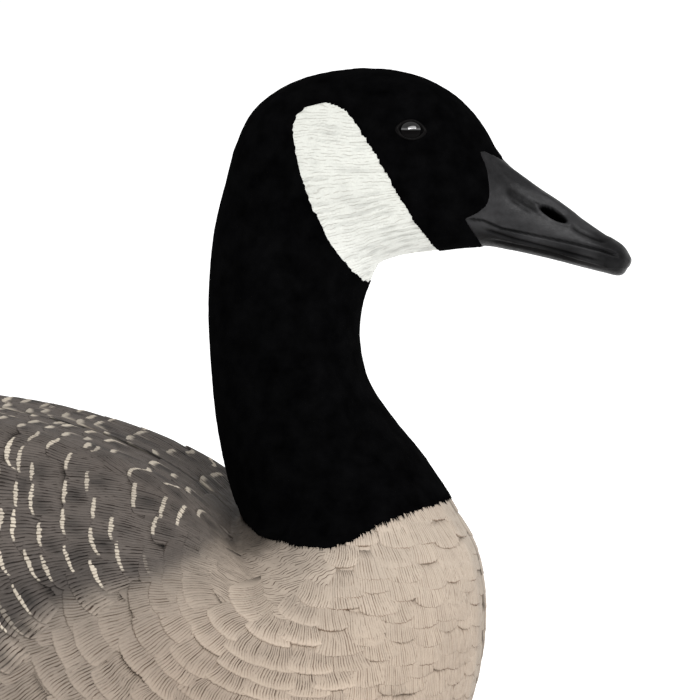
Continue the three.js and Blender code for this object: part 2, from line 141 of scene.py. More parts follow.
# The lower edge of the black: (angle from the upper line, section)
COLLAR = np.array([
    (0, 23.5), (0.39, 23.8), (0.54, 24.9), (0.73, 26.0), (0.85, 26.4), (1.05, 26.3), (1.2, 26.3),
    (1.34, 26.15), (1.5, 26.05), (1.62, 25.7), (1.76, 25.3), (1.9, 24.95), (2.03, 24.65), (2.24, 24.3),
    (2.59, 24.1), (math.pi, 24.05),
])

# The outline of the bill in the side view, open ahead and below: (x, z)
BILL_OUTLINE = np.array([
    (285.1, 285.8), (288.3, 279.1), (289.7, 271.6), (289.5, 266.5), (286.5, 263.6), (282.6, 261.6),
    (281.1, 261.1), (283.4, 256.7), (285.3, 253.2), (285.9, 250.6), (286, 235), (350, 235), (350, 277.2),
    (298.5, 277.2), (291, 282.2),
])

# The outline of the white cheek in the side view, open below the chin: (x, z)
CHEEK_OUTLINE = np.array([
    (220.5, 294.2), (221.1, 286.8), (224.3, 275.6), (227.1, 266.7), (230.8, 259.4), (233.1, 253),
    (238.9, 244.6), (242.2, 240), (244.4, 237.2), (252, 229), (276, 235), (269.8, 249.3), (267.3, 254.6),
    (261.5, 263.8), (257.3, 271.4), (253.4, 278.9), (247.1, 289), (241.8, 296), (238.2, 299.5),
    (233.4, 301.7), (230, 302), (226.1, 301.3), (222.9, 298.9), (220.9, 296),
])


def smooth_outline(outline):
    """The outline with its corners cut twice."""
    for _ in range(2):
        following = np.roll(outline, -1, axis=0)
        outline = np.stack([0.75 * outline + 0.25 * following, 0.25 * outline + 0.75 * following], axis=1)
        outline = outline.reshape(-1, 2)
    return outline


BILL_OUTLINE = smooth_outline(BILL_OUTLINE)
CHEEK_OUTLINE = smooth_outline(CHEEK_OUTLINE)

# How far each layer lies from the form
FLOCK_HEIGHT = 0.5
UNDER_FLOCK = -0.15
UNDER_CHEEK = -0.9
UNDER_FEATHERS = -0.55
HIDDEN = -0.8
UNDER_BILL = -1.9
INLAY_FLOOR = -2.6


def srgb(red, green, blue):
    """A linear colour from 0-255 display values."""
    value = np.array([red, green, blue]) / 255
    return np.where(value <= 0.04045, value / 12.92, ((value + 0.055) / 1.055) ** 2.4)


# Paint colours, painted shade and painted light among them
BREAST_PAINT = srgb(181, 167, 152)
# brown of the breast's cuts and tip lines: a wash, and at the tips partly painted shadow
BREAST_WASH_AND_SHADE_LINE = srgb(102, 75, 52)
WING_FRONT_PAINT = srgb(101, 94, 88)
WING_PAINT = srgb(83, 76, 71)
CRESCENT_PAINT = srgb(206, 195, 178)
SHADOW_PAINT = srgb(108, 100, 92)
# painted shade for the crease behind the neck
CREASE_SHADE_PAINT = srgb(50, 43, 36)
FLANK_PAINT = srgb(147, 134, 121)
STRIP_PAINT = srgb(150, 142, 132)
RUMP_PAINT = srgb(42, 38, 36)
WHITE_PAINT = srgb(232, 232, 224)
TAIL_PAINT = srgb(26, 24, 23)
BLADE_PAINT = srgb(74, 68, 63)
CHEEK_PAINT = srgb(207, 208, 201)
# the cheek's low part is painted whiter, as painted light from below
CHEEK_LOW_PAINTED_LIGHT = srgb(223, 224, 218)
# what the cheek's paint keeps in its furrows, as painted shade
CHEEK_FURROW_SHADE = 0.8

# Painted shade on the low part of the breast: what it keeps of its paint's red, green and blue
LOW_BREAST_SHADE = np.array([0.9, 0.87, 0.845])


def mix(a, b, share):
    return a + (b - a) * np.asarray(share)[..., None]


def smoothstep(value, low, high):
    share = np.clip((value - low) / (high - low), 0, 1)
    return share * share * (3 - 2 * share)


def falling(value, low, high):
    return 1 - smoothstep(value, low, high)


def between(value, low, high, fall, end):
    """Rises from 0 to 1 over low to high, and falls back over fall to end."""
    return smoothstep(value, low, high) * falling(value, fall, end)


def bell(value, width):
    return np.exp(-((value / width) ** 2))


def smooth_noise(points, size, seed):
    """Noise from -1 to 1 whose features are about size mm across, at points of any shape (..., 3)."""
    cells = 24
    lattice = np.random.default_rng(seed).uniform(-1, 1, (cells, cells, cells))
    place = points / size
    corner = np.floor(place).astype(int)
    share = place - corner
    share = share * share * (3 - 2 * share)
    total = 0
    for step in itertools.product((0, 1), repeat=3):
        weight = np.prod(np.where(step, share, 1 - share), axis=-1)
        index = (corner + step) % cells
        total = total + weight * lattice[index[..., 0], index[..., 1], index[..., 2]]
    return total


def running_total(steps):
    """The sums of the steps along the first axis, starting at 0."""
    return np.concatenate([np.zeros((1, *steps.shape[1:])), np.cumsum(steps, axis=0)])


def path_length(points):
    """Millimetres along lines of points that follow each other on the first axis."""
    return running_total(np.linalg.norm(np.diff(points, axis=0), axis=-1))


# The form

def section(t):
    """Uniform Catmull-Rom through SECTIONS at fractional section numbers."""
    first = np.clip(np.floor(t).astype(int), 0, LAST - 1)
    f = (t - first)[..., None]
    a, b, c, d = (SECTIONS[np.clip(first + k, 0, LAST)] for k in (-1, 0, 1, 2))
    return 0.5 * (2 * b + (c - a) * f + (2 * a - 5 * b + 4 * c - d) * f**2 + (3 * b - a - 3 * c + d) * f**3)


def shoulder_rise(t, y):
    middle = 0.38 * BODY_WIDTH / 2
    spread = 0.17 * BODY_WIDTH / 2
    return SHOULDER_RISE * between(t, 29.5, 32.5, 36, 40) * bell(np.abs(y) - middle, spread)


def form_point(t, angle):
    """A point of the smooth form. The angle is 0 at the upper line, pi at the lower line on the right
    side and -pi on the left."""
    t, angle = np.broadcast_arrays(t, angle)
    ux, uz, lx, lz, half, widest, upper_full, lower_full = np.moveaxis(section(t), -1, 0)
    cos = np.cos(angle)
    sin = np.sin(angle)
    upper = cos >= 0
    power = 2 / np.where(upper, upper_full, lower_full)
    up = np.sign(cos) * np.abs(cos) ** power
    y = -half * np.sign(sin) * np.abs(sin) ** power
    cx = lx + widest * (ux - lx)
    cz = lz + widest * (uz - lz)
    x = cx + up * np.where(upper, ux - cx, cx - lx)
    z = cz + up * np.where(upper, uz - cz, cz - lz)
    z = z + np.where(upper, shoulder_rise(t, y) * np.sqrt(np.maximum(cos, 0)), 0)
    return np.stack([x, y, z], axis=-1)


def form_normal(t, angle):
    step = 0.02
    ahead = form_point(np.minimum(LAST, t + step), angle)
    lengthwise = ahead - form_point(np.maximum(0, t - step), angle)
    around = form_point(t, angle + step) - form_point(t, angle - step)
    normal = np.cross(lengthwise, around)
    return normal / np.maximum(np.linalg.norm(normal, axis=-1, keepdims=True), 1e-9)


def raised(t, angle, height):
    """Points at a height above the form."""
    return form_point(t, angle) + form_normal(t, angle) * np.asarray(height)[..., None]


def wing_edge(t):
    return np.interp(t, WING_EDGE[:, 0], WING_EDGE[:, 1])


def wing_strength(t):
    return between(t, 33.5, 38, 43.5, 45.5)


def wing_base(t, angle):
    """How far the wing stands above the flank at a place of the form."""
    return WING_STEP * wing_strength(t) * falling(np.abs(angle) - wing_edge(t), -0.01, 0.03)


# Tables over the form behind its section 20: rows for sections, columns for angles from the upper
# line to the lower one
TABLE_T = np.linspace(20, LAST, 700)
TABLE_ANGLE = np.linspace(0, math.pi, 161)
TABLE_POINTS = form_point(TABLE_T[:, None], TABLE_ANGLE[None, :])
COLLAR_T = np.interp(TABLE_ANGLE, COLLAR[:, 0], COLLAR[:, 1])


def at_collar(table):
    """A table's values at the collar, one to each angle."""
    return np.array([np.interp(t, TABLE_T, column) for t, column in zip(COLLAR_T, table.T)])


LENGTHS = path_length(TABLE_POINTS)
BEHIND_COLLAR = LENGTHS - at_collar(LENGTHS)


def look_up(table, row, angle):
    """Bilinear value of a table at a fractional row and an angle; past the lower line it folds back."""
    folded = np.abs(angle)
    folded = np.where(folded > math.pi, 2 * math.pi - folded, folded)
    column = np.clip(folded / math.pi * (len(TABLE_ANGLE) - 1), 0, table.shape[1] - 1.001)
    row = np.clip(row, 0, table.shape[0] - 1.001)
    i = row.astype(int)
    j = column.astype(int)
    f = row - i
    g = column - j
    return ((1 - f) * (1 - g) * table[i, j] + f * (1 - g) * table[i + 1, j]
            + (1 - f) * g * table[i, j + 1] + f * g * table[i + 1, j + 1])


def at_form(table, t, angle):
    """A table's value at a place of the form."""
    return look_up(table, (t - TABLE_T[0]) / (TABLE_T[1] - TABLE_T[0]), angle)


def behind_collar(t, angle):
    """Millimetres behind the collar along the form, negative on the neck."""
    return at_form(BEHIND_COLLAR, t, angle)


def segment_distance(x, z, start, end):
    """Distance to a straight segment, and how far along it the nearest place is, from 0 to 1."""
    dx, dz = end[0] - start[0], end[1] - start[1]
    x, z = x - start[0], z - start[1]
    share = np.clip((x * dx + z * dz) / (dx * dx + dz * dz), 0, 1)
    return np.hypot(x - share * dx, z - share * dz), share


def outline_distance(x, z, outline):
    """Signed distance to a closed outline, positive inside."""
    best = np.full(np.shape(x), np.inf)
    inside = np.zeros(np.shape(x), bool)
    for start, end in zip(outline, np.roll(outline, -1, axis=0)):
        best = np.minimum(best, segment_distance(x, z, start, end)[0])
        if start[1] != end[1]:
            crosses = (start[1] > z) != (end[1] > z)
            inside ^= crosses & (x < start[0] + (z - start[1]) * (end[0] - start[0]) / (end[1] - start[1]))
    return np.where(inside, best, -best)


def line_distance(x, z, line):
    """Distance to an open line, which side (above is positive), and the share of its length."""
    line = np.asarray(line, float)
    steps = np.hypot(*np.diff(line, axis=0).T)
    starts = running_total(steps)
    best = np.full(np.shape(x), np.inf)
    side = np.zeros(np.shape(x))
    share_along = np.zeros(np.shape(x))
    for k, length in enumerate(steps):
        gap, share = segment_distance(x, z, line[k], line[k + 1])
        (dx, dz), (x0, z0) = line[k + 1] - line[k], line[k]
        closer = gap < best
        best = np.where(closer, gap, best)
        side = np.where(closer, np.sign(dx * (z - z0) - dz * (x - x0)), side)
        share_along = np.where(closer, (starts[k] + share * length) / starts[-1], share_along)
    return best, side, share_along


# Meshes. The parts of a mesh are its points in mm, quads, triangles and one UV for each corner of
# these faces

NO_QUADS = np.zeros((0, 4), int)
NO_TRIANGLES = np.zeros((0, 3), int)


def new_piece(name, parts, finish, paint=None, carving=None):
    """A smooth mesh object riding on the bird. The finish is a material and a slot name; the slot name
    is not used. The carving of a point is where it lies across and along the fine cuts, and how deep
    they are."""
    points, quads, triangles, uv = parts
    material, slot = finish
    mesh = bpy.data.meshes.new(name)
    mesh.vertices.add(len(points))
    mesh.vertices.foreach_set("co", (points * MM).ravel())
    corners = np.concatenate([np.ravel(quads), np.ravel(triangles)]).astype(np.int32)
    mesh.loops.add(len(corners))
    mesh.loops.foreach_set("vertex_index", corners)
    starts = np.concatenate([np.arange(len(quads)) * 4, 4 * len(quads) + np.arange(len(triangles)) * 3])
    mesh.polygons.add(len(starts))
    mesh.polygons.foreach_set("loop_start", starts.astype(np.int32))
    mesh.polygons.foreach_set("use_smooth", np.ones(len(starts), bool))
    mesh.uv_layers.new(name="OFBake").uv.foreach_set("vector", np.ravel(uv))
    mesh.update(calc_edges=True)
    for attribute, values in (("paint", paint), ("carving", carving)):
        if values is not None:
            colour = np.concatenate([values, np.ones((len(values), 1))], axis=1)
            layer = mesh.color_attributes.new(attribute, "FLOAT_COLOR", "POINT")
            layer.data.foreach_set("color", colour.ravel())
    mesh.materials.append(material)
    piece = bpy.data.objects.new(name, mesh)
    bpy.context.collection.objects.link(piece)
    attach(piece, "root")
    return piece


def face_uv(*corners):
    """UVs of faces, in order, from the across and along values of each of their corners."""
    corners = [np.stack(np.broadcast_arrays(*corner), axis=-1) for corner in corners]
    return np.stack(corners, axis=1).reshape(-1, 2)


def cell_uv(uv, number, count):
    """UVs of the unit square shrunk into a numbered cell of a square grid with room for count."""
    cells = math.ceil(math.sqrt(count))
    return (uv + np.stack([number % cells, number // cells], axis=-1)) / cells


def loft(rings):
    """The parts of a closed loft through rings (R, C, 3). The middles of its first and last ring are
    its last two points."""
    ring_count, count = rings.shape[:2]
    middles = np.stack([rings[0].mean(axis=0), rings[-1].mean(axis=0)])
    points = np.concatenate([rings.reshape(-1, 3), middles])
    along = path_length(rings.mean(axis=1))
    along = 0.03 + 0.94 * along / along[-1]
    i, j = (index.ravel() for index in np.indices((ring_count - 1, count)))
    corners = [(i, j), (i + 1, j), (i + 1, j + 1), (i, j + 1)]
    quads = np.stack([row * count + column % count for row, column in corners], axis=1)
    uvs = [face_uv(*((column / count, along[row]) for row, column in corners))]
    triangles = []
    j = np.arange(count)
    for end, row, first, second in ((0, 0, j, j + 1), (1, ring_count - 1, j + 1, j)):
        middle = np.full(count, ring_count * count + end)
        start = row * count
        triangles.append(np.stack([middle, start + first % count, start + second % count], axis=1))
        level = along[row]
        uvs.append(face_uv(((j + 0.5) / count, end), (first / count, level), (second / count, level)))
    return points, quads, np.concatenate(triangles), np.concatenate(uvs)


def with_ends(values, ends=None):
    """Values of a loft's points, and of its ends' middles, which take their ring's first if not given."""
    ends = values[[0, -1], 0] if ends is None else ends
    return np.concatenate([values.reshape(-1, values.shape[-1]), ends])


def on_side(side, points, *others):
    """Grids of the right side, mirrored for the left with their columns turned round."""
    if side == RIGHT:
        return points, *others
    return points[..., ::-1, :] * MIRROR[LEFT], *(grid[..., ::-1, :] for grid in others)


def spaced_sections(*stretches):
    """Section numbers from (start, end, spacing in mm) stretches that follow each other."""
    rows = []
    for start, end, spacing in stretches:
        t = np.linspace(start, end, 400)
        line = section(t)[:, :4].reshape(-1, 2, 2).mean(axis=1)
        lower = section(t)[:, 2:4]
        steps = np.maximum(np.hypot(*np.diff(line, axis=0).T), 0.8 * np.hypot(*np.diff(lower, axis=0).T))
        length = running_total(steps)
        count = max(2, round(length[-1] / spacing))
        rows.append(np.interp(np.linspace(0, length[-1], count + 1)[:-1], length, t))
    return np.concatenate(rows + [[stretches[-1][1]]])


def form_grid(rows, columns):
    """Sections and angles once round the form, from the lower line over the left side."""
    return np.meshgrid(rows, -math.pi + 2 * math.pi * np.arange(columns) / columns, indexing="ij")


def on_ground(points):
    """The flat underside."""
    points[..., 2] = np.maximum(points[..., 2], 0)
    return points


# Materials

NOISE_ROUGHNESS = 0.55
BILL_SHINE = 0.27
CUT_PLACE = 0.81
CUT_WANDER = 0.6
CUT_WIDTH = (0.03, 0.17)
CUT_BREAKS = (0.36, 0.6)
CUT_DARKNESS = (0.84, 0.91, 0.96)
CUT_DEPTH = 0.3
GRAIN_DEPTH = 0.07
PILE_DEPTH = 0.12
PILE_SHEEN = 0.004
SATIN_DEPTH = 0.08
EYE_INDEX = 2.2
# the band where the eye's shine is raised, and where it fades: a painted reflection of the soft box
EYE_REFLECTION_BAND = (0.22, 0.3)
EYE_REFLECTION_FADE = (0.33, 0.42)


def set_inputs(tree, node, inputs):
    """Sets a node's inputs, by name or number, each to a link or a plain value."""
    for socket, value in inputs.items():
        if isinstance(value, bpy.types.NodeSocket):
            tree.links.new(value, node.inputs[socket])
        else:
            node.inputs[socket].default_value = value


def add_node(tree, kind, inputs, output=0, **settings):
    """One output of a new node."""
    node = tree.nodes.new("ShaderNode" + kind)
    for name, setting in settings.items():
        setattr(node, name, setting)
    set_inputs(tree, node, inputs)
    return node.outputs[output]


def node_math(tree, operation, *values):
    return add_node(tree, "Math", dict(enumerate(values)), operation=operation)


def vector_math(tree, operation, *values):
    return add_node(tree, "VectorMath", dict(enumerate(values)), operation=operation)


def scaled(tree, colour, factor):
    return add_node(tree, "VectorMath", {0: colour, "Scale": factor}, operation="SCALE")


def blended(tree, share, first, second):
    inputs = {"Factor": share, "A": (*first, 1), "B": (*second, 1)}
    return add_node(tree, "Mix", inputs, "Result", data_type="RGBA")


def map_range(tree, value, ends, results, kind="SMOOTHSTEP"):
    """A value mapped from its two ends to two results."""
    return add_node(tree, "MapRange", dict(enumerate((value, *ends, *results))), interpolation_type=kind)


def height_of(tree, value):
    """The third part of a vector."""
    return add_node(tree, "SeparateXYZ", {"Vector": value}, "Z")


def bump(tree, height, depth):
    """A normal from a height, depth mm deep."""
    return add_node(tree, "Bump", {"Height": height, "Strength": 1, "Distance": depth * MM}, "Normal")


def object_noise(tree, size, detail=3):
    """Noise in object space with features about size mm across."""
    inputs = {"Scale": 1 / (size * MM), "Detail": detail, "Roughness": NOISE_ROUGHNESS}
    inputs["Vector"] = add_node(tree, "TexCoord", {}, "Object")
    return add_node(tree, "TexNoise", inputs, "Fac")


def varied(tree, size, low, high, detail=3):
    """A value that wanders from low to high with object noise."""
    return map_range(tree, object_noise(tree, size, detail), (0.25, 0.75), (low, high), "LINEAR")


def carving_noise(tree, vector, scale, start, detail):
    """Noise over the carving attribute's places."""
    place = vector_math(tree, "MULTIPLY_ADD", vector, (*scale, 0), (start, 0, start))
    return add_node(tree, "TexNoise", {"Vector": place, "Scale": 1, "Detail": detail}, "Fac")


def fine_cuts(tree):
    """1 in the fine wandering cuts of the carving attribute, one to each step across, 0 between them."""
    vector = add_node(tree, "Attribute", {}, "Vector", attribute_name="carving")
    wander = carving_noise(tree, vector, (0.3, 0.8), 3, 1)
    across = add_node(tree, "SeparateXYZ", {"Vector": vector}, "X")
    across = node_math(tree, "MULTIPLY_ADD", wander, CUT_WANDER, across)
    cell = node_math(tree, "FRACT", node_math(tree, "SUBTRACT", across, CUT_WANDER / 2))
    off = node_math(tree, "ABSOLUTE", node_math(tree, "SUBTRACT", cell, CUT_PLACE))
    line = map_range(tree, off, CUT_WIDTH, (1, 0))
    broken = map_range(tree, carving_noise(tree, vector, (0.7, 0.7), 20, 2), CUT_BREAKS, (0, 1))
    return node_math(tree, "MULTIPLY", node_math(tree, "MULTIPLY", line, broken), height_of(tree, vector))


def new_material(name):
    material = bpy.data.materials.new(name)
    material.use_nodes = True
    return material, material.node_tree, material.node_tree.nodes["Principled BSDF"]


def painted_plastic():
    """Matt paint on moulded plastic, its colour from the paint attribute, darker in the fine cuts."""
    material, tree, shader = new_material("painted_plastic")
    colour = add_node(tree, "Attribute", {}, "Color", attribute_name="paint")
    colour = scaled(tree, colour, varied(tree, 9, 0.94, 1.06))
    colour = scaled(tree, colour, varied(tree, 0.6, 0.93, 1.07))
    cuts = fine_cuts(tree)
    kept = vector_math(tree, "MULTIPLY_ADD", cuts, [-value for value in CUT_DARKNESS], (1, 1, 1))
    height = node_math(tree, "MULTIPLY_ADD", cuts, -CUT_DEPTH / GRAIN_DEPTH, object_noise(tree, 0.5))
    set_inputs(tree, shader, {
        "Base Color": vector_math(tree, "MULTIPLY", colour, kept),
        "Roughness": varied(tree, 3, 0.6, 0.78),
        "Specular IOR Level": 0.3,
        "Normal": bump(tree, height, GRAIN_DEPTH),
    })
    return material


def black_flocking():
    """Short dense black nylon pile."""
    material, tree, shader = new_material("black_flocking")
    share = varied(tree, 7, 0, 1)
    set_inputs(tree, shader, {
        "Base Color": blended(tree, share, (0.0006, 0.0006, 0.0007), (0.0025, 0.0025, 0.0027)),
        "Roughness": 1,
        "Specular IOR Level": 0,
        "Sheen Weight": PILE_SHEEN,
        "Sheen Roughness": 0.5,
        "Normal": bump(tree, object_noise(tree, 0.35), PILE_DEPTH),
    })
    return material


def bill_satin():
    """Dark satin paint, deeper and duller where its paint attribute carries painted shade, as in the carved
    lines.
    """
    material, tree, shader = new_material("bill_satin")
    share = varied(tree, 2.2, 0, 1, detail=6)
    colour = blended(tree, share, (0.0085, 0.0082, 0.009), (0.0165, 0.016, 0.0175))
    tone = add_node(tree, "Attribute", {}, "Fac", attribute_name="paint")
    set_inputs(tree, shader, {
        "Base Color": scaled(tree, colour, tone),
        "Roughness": varied(tree, 1.4, 0.36, 0.54, detail=5),
        "Specular IOR Level": node_math(tree, "MULTIPLY", tone, BILL_SHINE),
        "Normal": bump(tree, object_noise(tree, 0.6, detail=5), SATIN_DEPTH),
    })
    return material


def black_gloss(name, roughness):
    """Black gloss paint, without its specular level."""
    material, tree, shader = new_material(name)
    colour = scaled(tree, (0.0018, 0.0015, 0.0015), varied(tree, 2, 0.7, 1.2))
    set_inputs(tree, shader, {"Base Color": colour, "Roughness": roughness})
    return material, tree, shader


def eye_gloss():
    """Black gloss whose shine is raised only in a band over the upper part of the ball, as a painted
    reflection of the soft box.
    """
    material, tree, shader = black_gloss("eye_gloss", 0.05)
    up = height_of(tree, add_node(tree, "TexCoord", {}, "Normal"))
    painted_reflection = map_range(tree, up, EYE_REFLECTION_BAND, (0.01, 1))
    faded = map_range(tree, up, EYE_REFLECTION_FADE, (1, 0.2))
    painted_reflection = node_math(tree, "MULTIPLY", painted_reflection, faded)
    set_inputs(tree, shader, {"IOR": EYE_INDEX, "Specular IOR Level": painted_reflection})
    return material


def lid_gloss():
    """Nearly dull black gloss."""
    material, tree, shader = black_gloss("lid_gloss", 0.4)
    set_inputs(tree, shader, {"Specular IOR Level": 0.05})
    return material


# Finishes: a material and a slot name
PAINT = (painted_plastic(), "painted_plastic")
FLOCK = (black_flocking(), "flocking")
BILL = (bill_satin(), "bill_paint")
EYE = (eye_gloss(), "eye_gloss")
LID = (lid_gloss(), "eye_gloss")


# The bill, whose carved lines are given in the side view: (x, z)

MOUTH_LINE = [
    (281.8, 261), (287.6, 260.2), (294, 257.4), (306.4, 255), (319.5, 252.4), (329.4, 250), (334.6, 247.9),
]
GUM_LINE = [(285.5, 257.9), (297.4, 253.9), (308.6, 251.1), (319.7, 248.3), (329.9, 245.6)]
CHIN_LINE = [(288, 253.6), (310, 249.2), (321, 245.8), (330, 243.6)]
CULMEN_LINE = [
    (285.4, 286.2), (291.6, 281.2), (299.6, 274.9), (308.4, 268.4), (317.1, 262.6), (332.5, 254.2),
]
FOSSA_LINE = [(293.4, 273), (297.8, 269.5), (303.2, 266.2), (309.8, 263.3), (317.5, 260)]
FOSSA_RIDGE = [(294, 275.6), (299.4, 272.7), (306.2, 269.2), (313.8, 265.4), (320.6, 260.4)]
FOSSA_FOLD = [(295.8, 268.6), (300.6, 265.2), (305.4, 262.2)]
NOSTRIL_GROOVE = [(316.5, 259.5), (321, 256.5), (326.5, 254), (332, 252)]

# How each line is carved: (line, width, depth, share of it over which its ends fade)
BILL_CARVING = (
    (MOUTH_LINE, 0.5, 0.9, 0.05),
    (GUM_LINE, 0.6, 0.6, 0.12),
    (CHIN_LINE, 0.6, 0.4, 0.12),
    (FOSSA_LINE, 1.9, 0.75, 0.2),
    (FOSSA_RIDGE, 0.9, -0.35, 0.2),
    (CULMEN_LINE, 0.7, -0.45, 0.06),
    (FOSSA_FOLD, 0.5, 0.3, 0.3),
    (NOSTRIL_GROOVE, 0.8, 0.6, 0.25),
)
NOSTRIL_MIDDLE = (311.9, 262.6)
NOSTRIL_SLOPE = math.radians(-31)
NOSTRIL_HALF = (5.8, 1.7)
NOSTRIL_DEPTH = 2.6
NOSTRIL_RIM = 0.45
NAIL_RISE = 0.3
BILL_STRETCHES = ((0, 1.2, 0.35), (1.2, 7.6, 0.42), (7.6, 9.3, 0.7))
BILL_COLUMNS = 168


def groove(x, z, line, width, depth, fade):
    """A groove along a line, shallower towards its ends, or a ridge if its depth is negative."""
    gap, _, share = line_distance(x, z, line)
    return -depth * between(share, -0.01, fade, 1 - fade, 1.01) * bell(gap, width)


def nostril_oval(x, z):
    """1 on the rim of the nostril, less inside; and the height above its long axis."""
    dx, dz = x - NOSTRIL_MIDDLE[0], z - NOSTRIL_MIDDLE[1]
    lengthwise = dx * math.cos(NOSTRIL_SLOPE) + dz * math.sin(NOSTRIL_SLOPE)
    across = -dx * math.sin(NOSTRIL_SLOPE) + dz * math.cos(NOSTRIL_SLOPE)
    return np.hypot(lengthwise / NOSTRIL_HALF[0], across / NOSTRIL_HALF[1]), across


def bill_relief(x, z):
    height = sum(groove(x, z, *carving) for carving in BILL_CARVING)
    oval, across = nostril_oval(x, z)
    height = height - NOSTRIL_DEPTH * falling(oval, 0.6, 1.0)
    height = height + NOSTRIL_RIM * bell(oval - 1.22, 0.18) * (across < 0)
    return height + NAIL_RISE * smoothstep(x, 329.5, 331.5) * (z > 243.5)


def bill_tone_and_shade(points, relief):
    """What the bill keeps of its brightness: painted shade in the nostril and the carved lines, towards
    the nail, over the culmen, low on the side and at the corner of the mouth; less by the forehead."""
    x, z = points[..., 0], points[..., 2]
    oval, _ = nostril_oval(x, z)
    gap, above, _ = line_distance(x, z, CULMEN_LINE)
    streaks = smooth_noise(points * (0.35, 1, 1), 1.8, 13) + 0.7 * smooth_noise(points * (0.5, 1, 1), 0.8, 14)
    tone = (0.01 + 0.99 * smoothstep(oval, 0.8, 1.02)) * (1 - 0.65 * smoothstep(-relief, 0.1, 0.65))
    tone = tone * (1 - 0.62 * smoothstep(x, 321, 331)) * (1 - 0.5 * smoothstep(above * gap, 0, 0.7))
    tone = tone * (1 - 0.72 * falling(z, 248, 256) * falling(x, 316, 328)) * (1 + 0.16 * streaks)
    tone = tone * (1 - 0.38 * smoothstep(z, 268.5, 274))
    return tone * (1 - 0.5 * falling(x, 296, 307) * falling(z, 255.5, 259.5))


def make_bill():
    t, angle = form_grid(spaced_sections(*BILL_STRETCHES), BILL_COLUMNS)
    smooth = form_point(t, angle)
    x, z = smooth[..., 0], smooth[..., 2]
    inside = outline_distance(x, z, BILL_OUTLINE)
    relief = bill_relief(x, z)
    wear = 0.03 * smooth_noise(smooth, 3, 11) + 0.02 * smooth_noise(smooth, 1.2, 12)
    height = np.where(inside > 0, relief + wear, np.maximum(HIDDEN, inside))
    tone = with_ends(bill_tone_and_shade(smooth, relief)[..., None], [[0.3], [1]])
    new_piece("bill", loft(raised(t, angle, height)), BILL, np.repeat(tone, 3, axis=1))


# The skin and what is let into it

def body_paint(t, angle, points):
    """The paint of the bird's zones at places of the form, with painted shade beside the neck, in the
    crease behind it and on the low breast.
    """
    x, y, z = np.moveaxis(points, -1, 0)
    side = np.abs(angle)
    behind = behind_collar(t, angle)
    past_collar = np.maximum(0, behind)
    below_wing = side - wing_edge(t)
    # the breast, browner on the flank and greyer under the wing's edge, with painted shade beside the neck
    colour = mix(BREAST_PAINT, FLANK_PAINT, falling(x, 140, 262))
    near_wing = np.exp(-np.maximum(0, below_wing) / 0.16) * smoothstep(t, 26.5, 29)
    neck_shade = np.exp(-past_collar / 16) * falling(side, 1.15, 1.75)
    colour = mix(colour, SHADOW_PAINT, np.clip(0.8 * near_wing + 0.7 * neck_shade, 0, 1))
    # the folded wing and the back, darker along the lower front of the wing
    wing = mix(WING_FRONT_PAINT, WING_PAINT, smoothstep(behind, 10, 50))
    blend = 0.01 + 0.05 * falling(t, 36, 38)
    wing_share = falling(below_wing, -blend, 0.8 * blend)
    low_wing = smoothstep(below_wing, -0.3, -0.12) * between(t, 33.2, 34.2, 38, 40)
    wing = wing * (1 - 0.35 * low_wing)[..., None]
    colour = mix(colour, wing, wing_share * smoothstep(behind, 4, 22))
    # painted shade in the crease behind the neck
    crease = bell(past_collar, 24) * falling(side + 0.012 * past_collar, 0.85, 1.15)
    crease = crease * (0.4 + 0.6 * smoothstep(side, 0.05, 0.3))
    colour = mix(colour, CREASE_SHADE_PAINT, 0.92 * crease)
    # the vent, the rump and the tail's coverts
    colour = mix(colour, WHITE_PAINT, smoothstep(t, 42.5, 44) * smoothstep(side, 1.35, 1.6))
    colour = mix(colour, RUMP_PAINT, smoothstep(t, 43.2, 44.2) * falling(side, 0.9, 1.2))
    colour = mix(colour, WHITE_PAINT, smoothstep(t, 45.3, 45.9) * falling(side, 1.5, 1.7))
    # the low breast in painted shade, and the greyer strip down its middle
    low = falling(z, 100, 155) * smoothstep(x, 150, 200) * (1 - wing_share)
    colour = colour * mix(np.ones(3), LOW_BREAST_SHADE, low)
    strip = falling(np.abs(y), 8, 14) * smoothstep(side, 2.2, 2.5) * smoothstep(x, 225, 250)
    return mix(colour, STRIP_PAINT, 0.4 * strip)


def seam_shade(angle, points):
    """Darker beside the seams along the back and the breast."""
    depth = np.where(np.abs(angle) < 1, 0.8, 0.4)
    return 1 - depth * falling(np.abs(points[..., 1]), 0.7, 2.2)


def inlay(name, side, t, angle, height, shade, floor_shade, carving):
    """A closed plate let into the form on one side, from a grid of sections and angles. It is given
    the top's heights, paint and carving."""
    floor_angle = np.linspace(angle[0, -1], angle[0, 0], 12)[None, :]
    floor = raised(t[:, :1], floor_angle, np.full((len(t), 12), INLAY_FLOOR))
    rings = np.concatenate([raised(t, angle, height), floor], axis=1)
    paint = np.concatenate([shade, np.broadcast_to(floor_shade, floor.shape)], axis=1)
    carving = np.concatenate([np.stack(carving, axis=-1), np.zeros(floor.shape)], axis=1)
    rings, paint, carving = on_side(side, rings, paint, carving)
    carving = with_ends(carving, np.zeros((2, 3)))
    new_piece(name + SIDE_NAME[side], loft(rings), PAINT, with_ends(paint), carving)


# The reach behind the collar of the hollow that has scratches but no feathers: (angle, reach)
HOLLOW = np.array([(0, 13), (0.5, 21), (0.8, 29), (1.1, 38), (1.25, 36), (1.42, 20), (1.6, 0), (4, 0)])
HOLLOW_SECTIONS = (23.6, 32.6)
HOLLOW_ANGLES = (0.0006, 1.66)
HOLLOW_FINENESS = {RIGHT: (0.85, 124), LEFT: (1.6, 60)}


def hollow_reach(angle):
    return np.interp(np.abs(angle), HOLLOW[:, 0], HOLLOW[:, 1])


def feather_reach(angle):
    """How far behind the collar the feathers by the hollow begin; its plate goes on under them."""
    return hollow_reach(angle) + 5 * falling(angle, 0.85, 1.2)


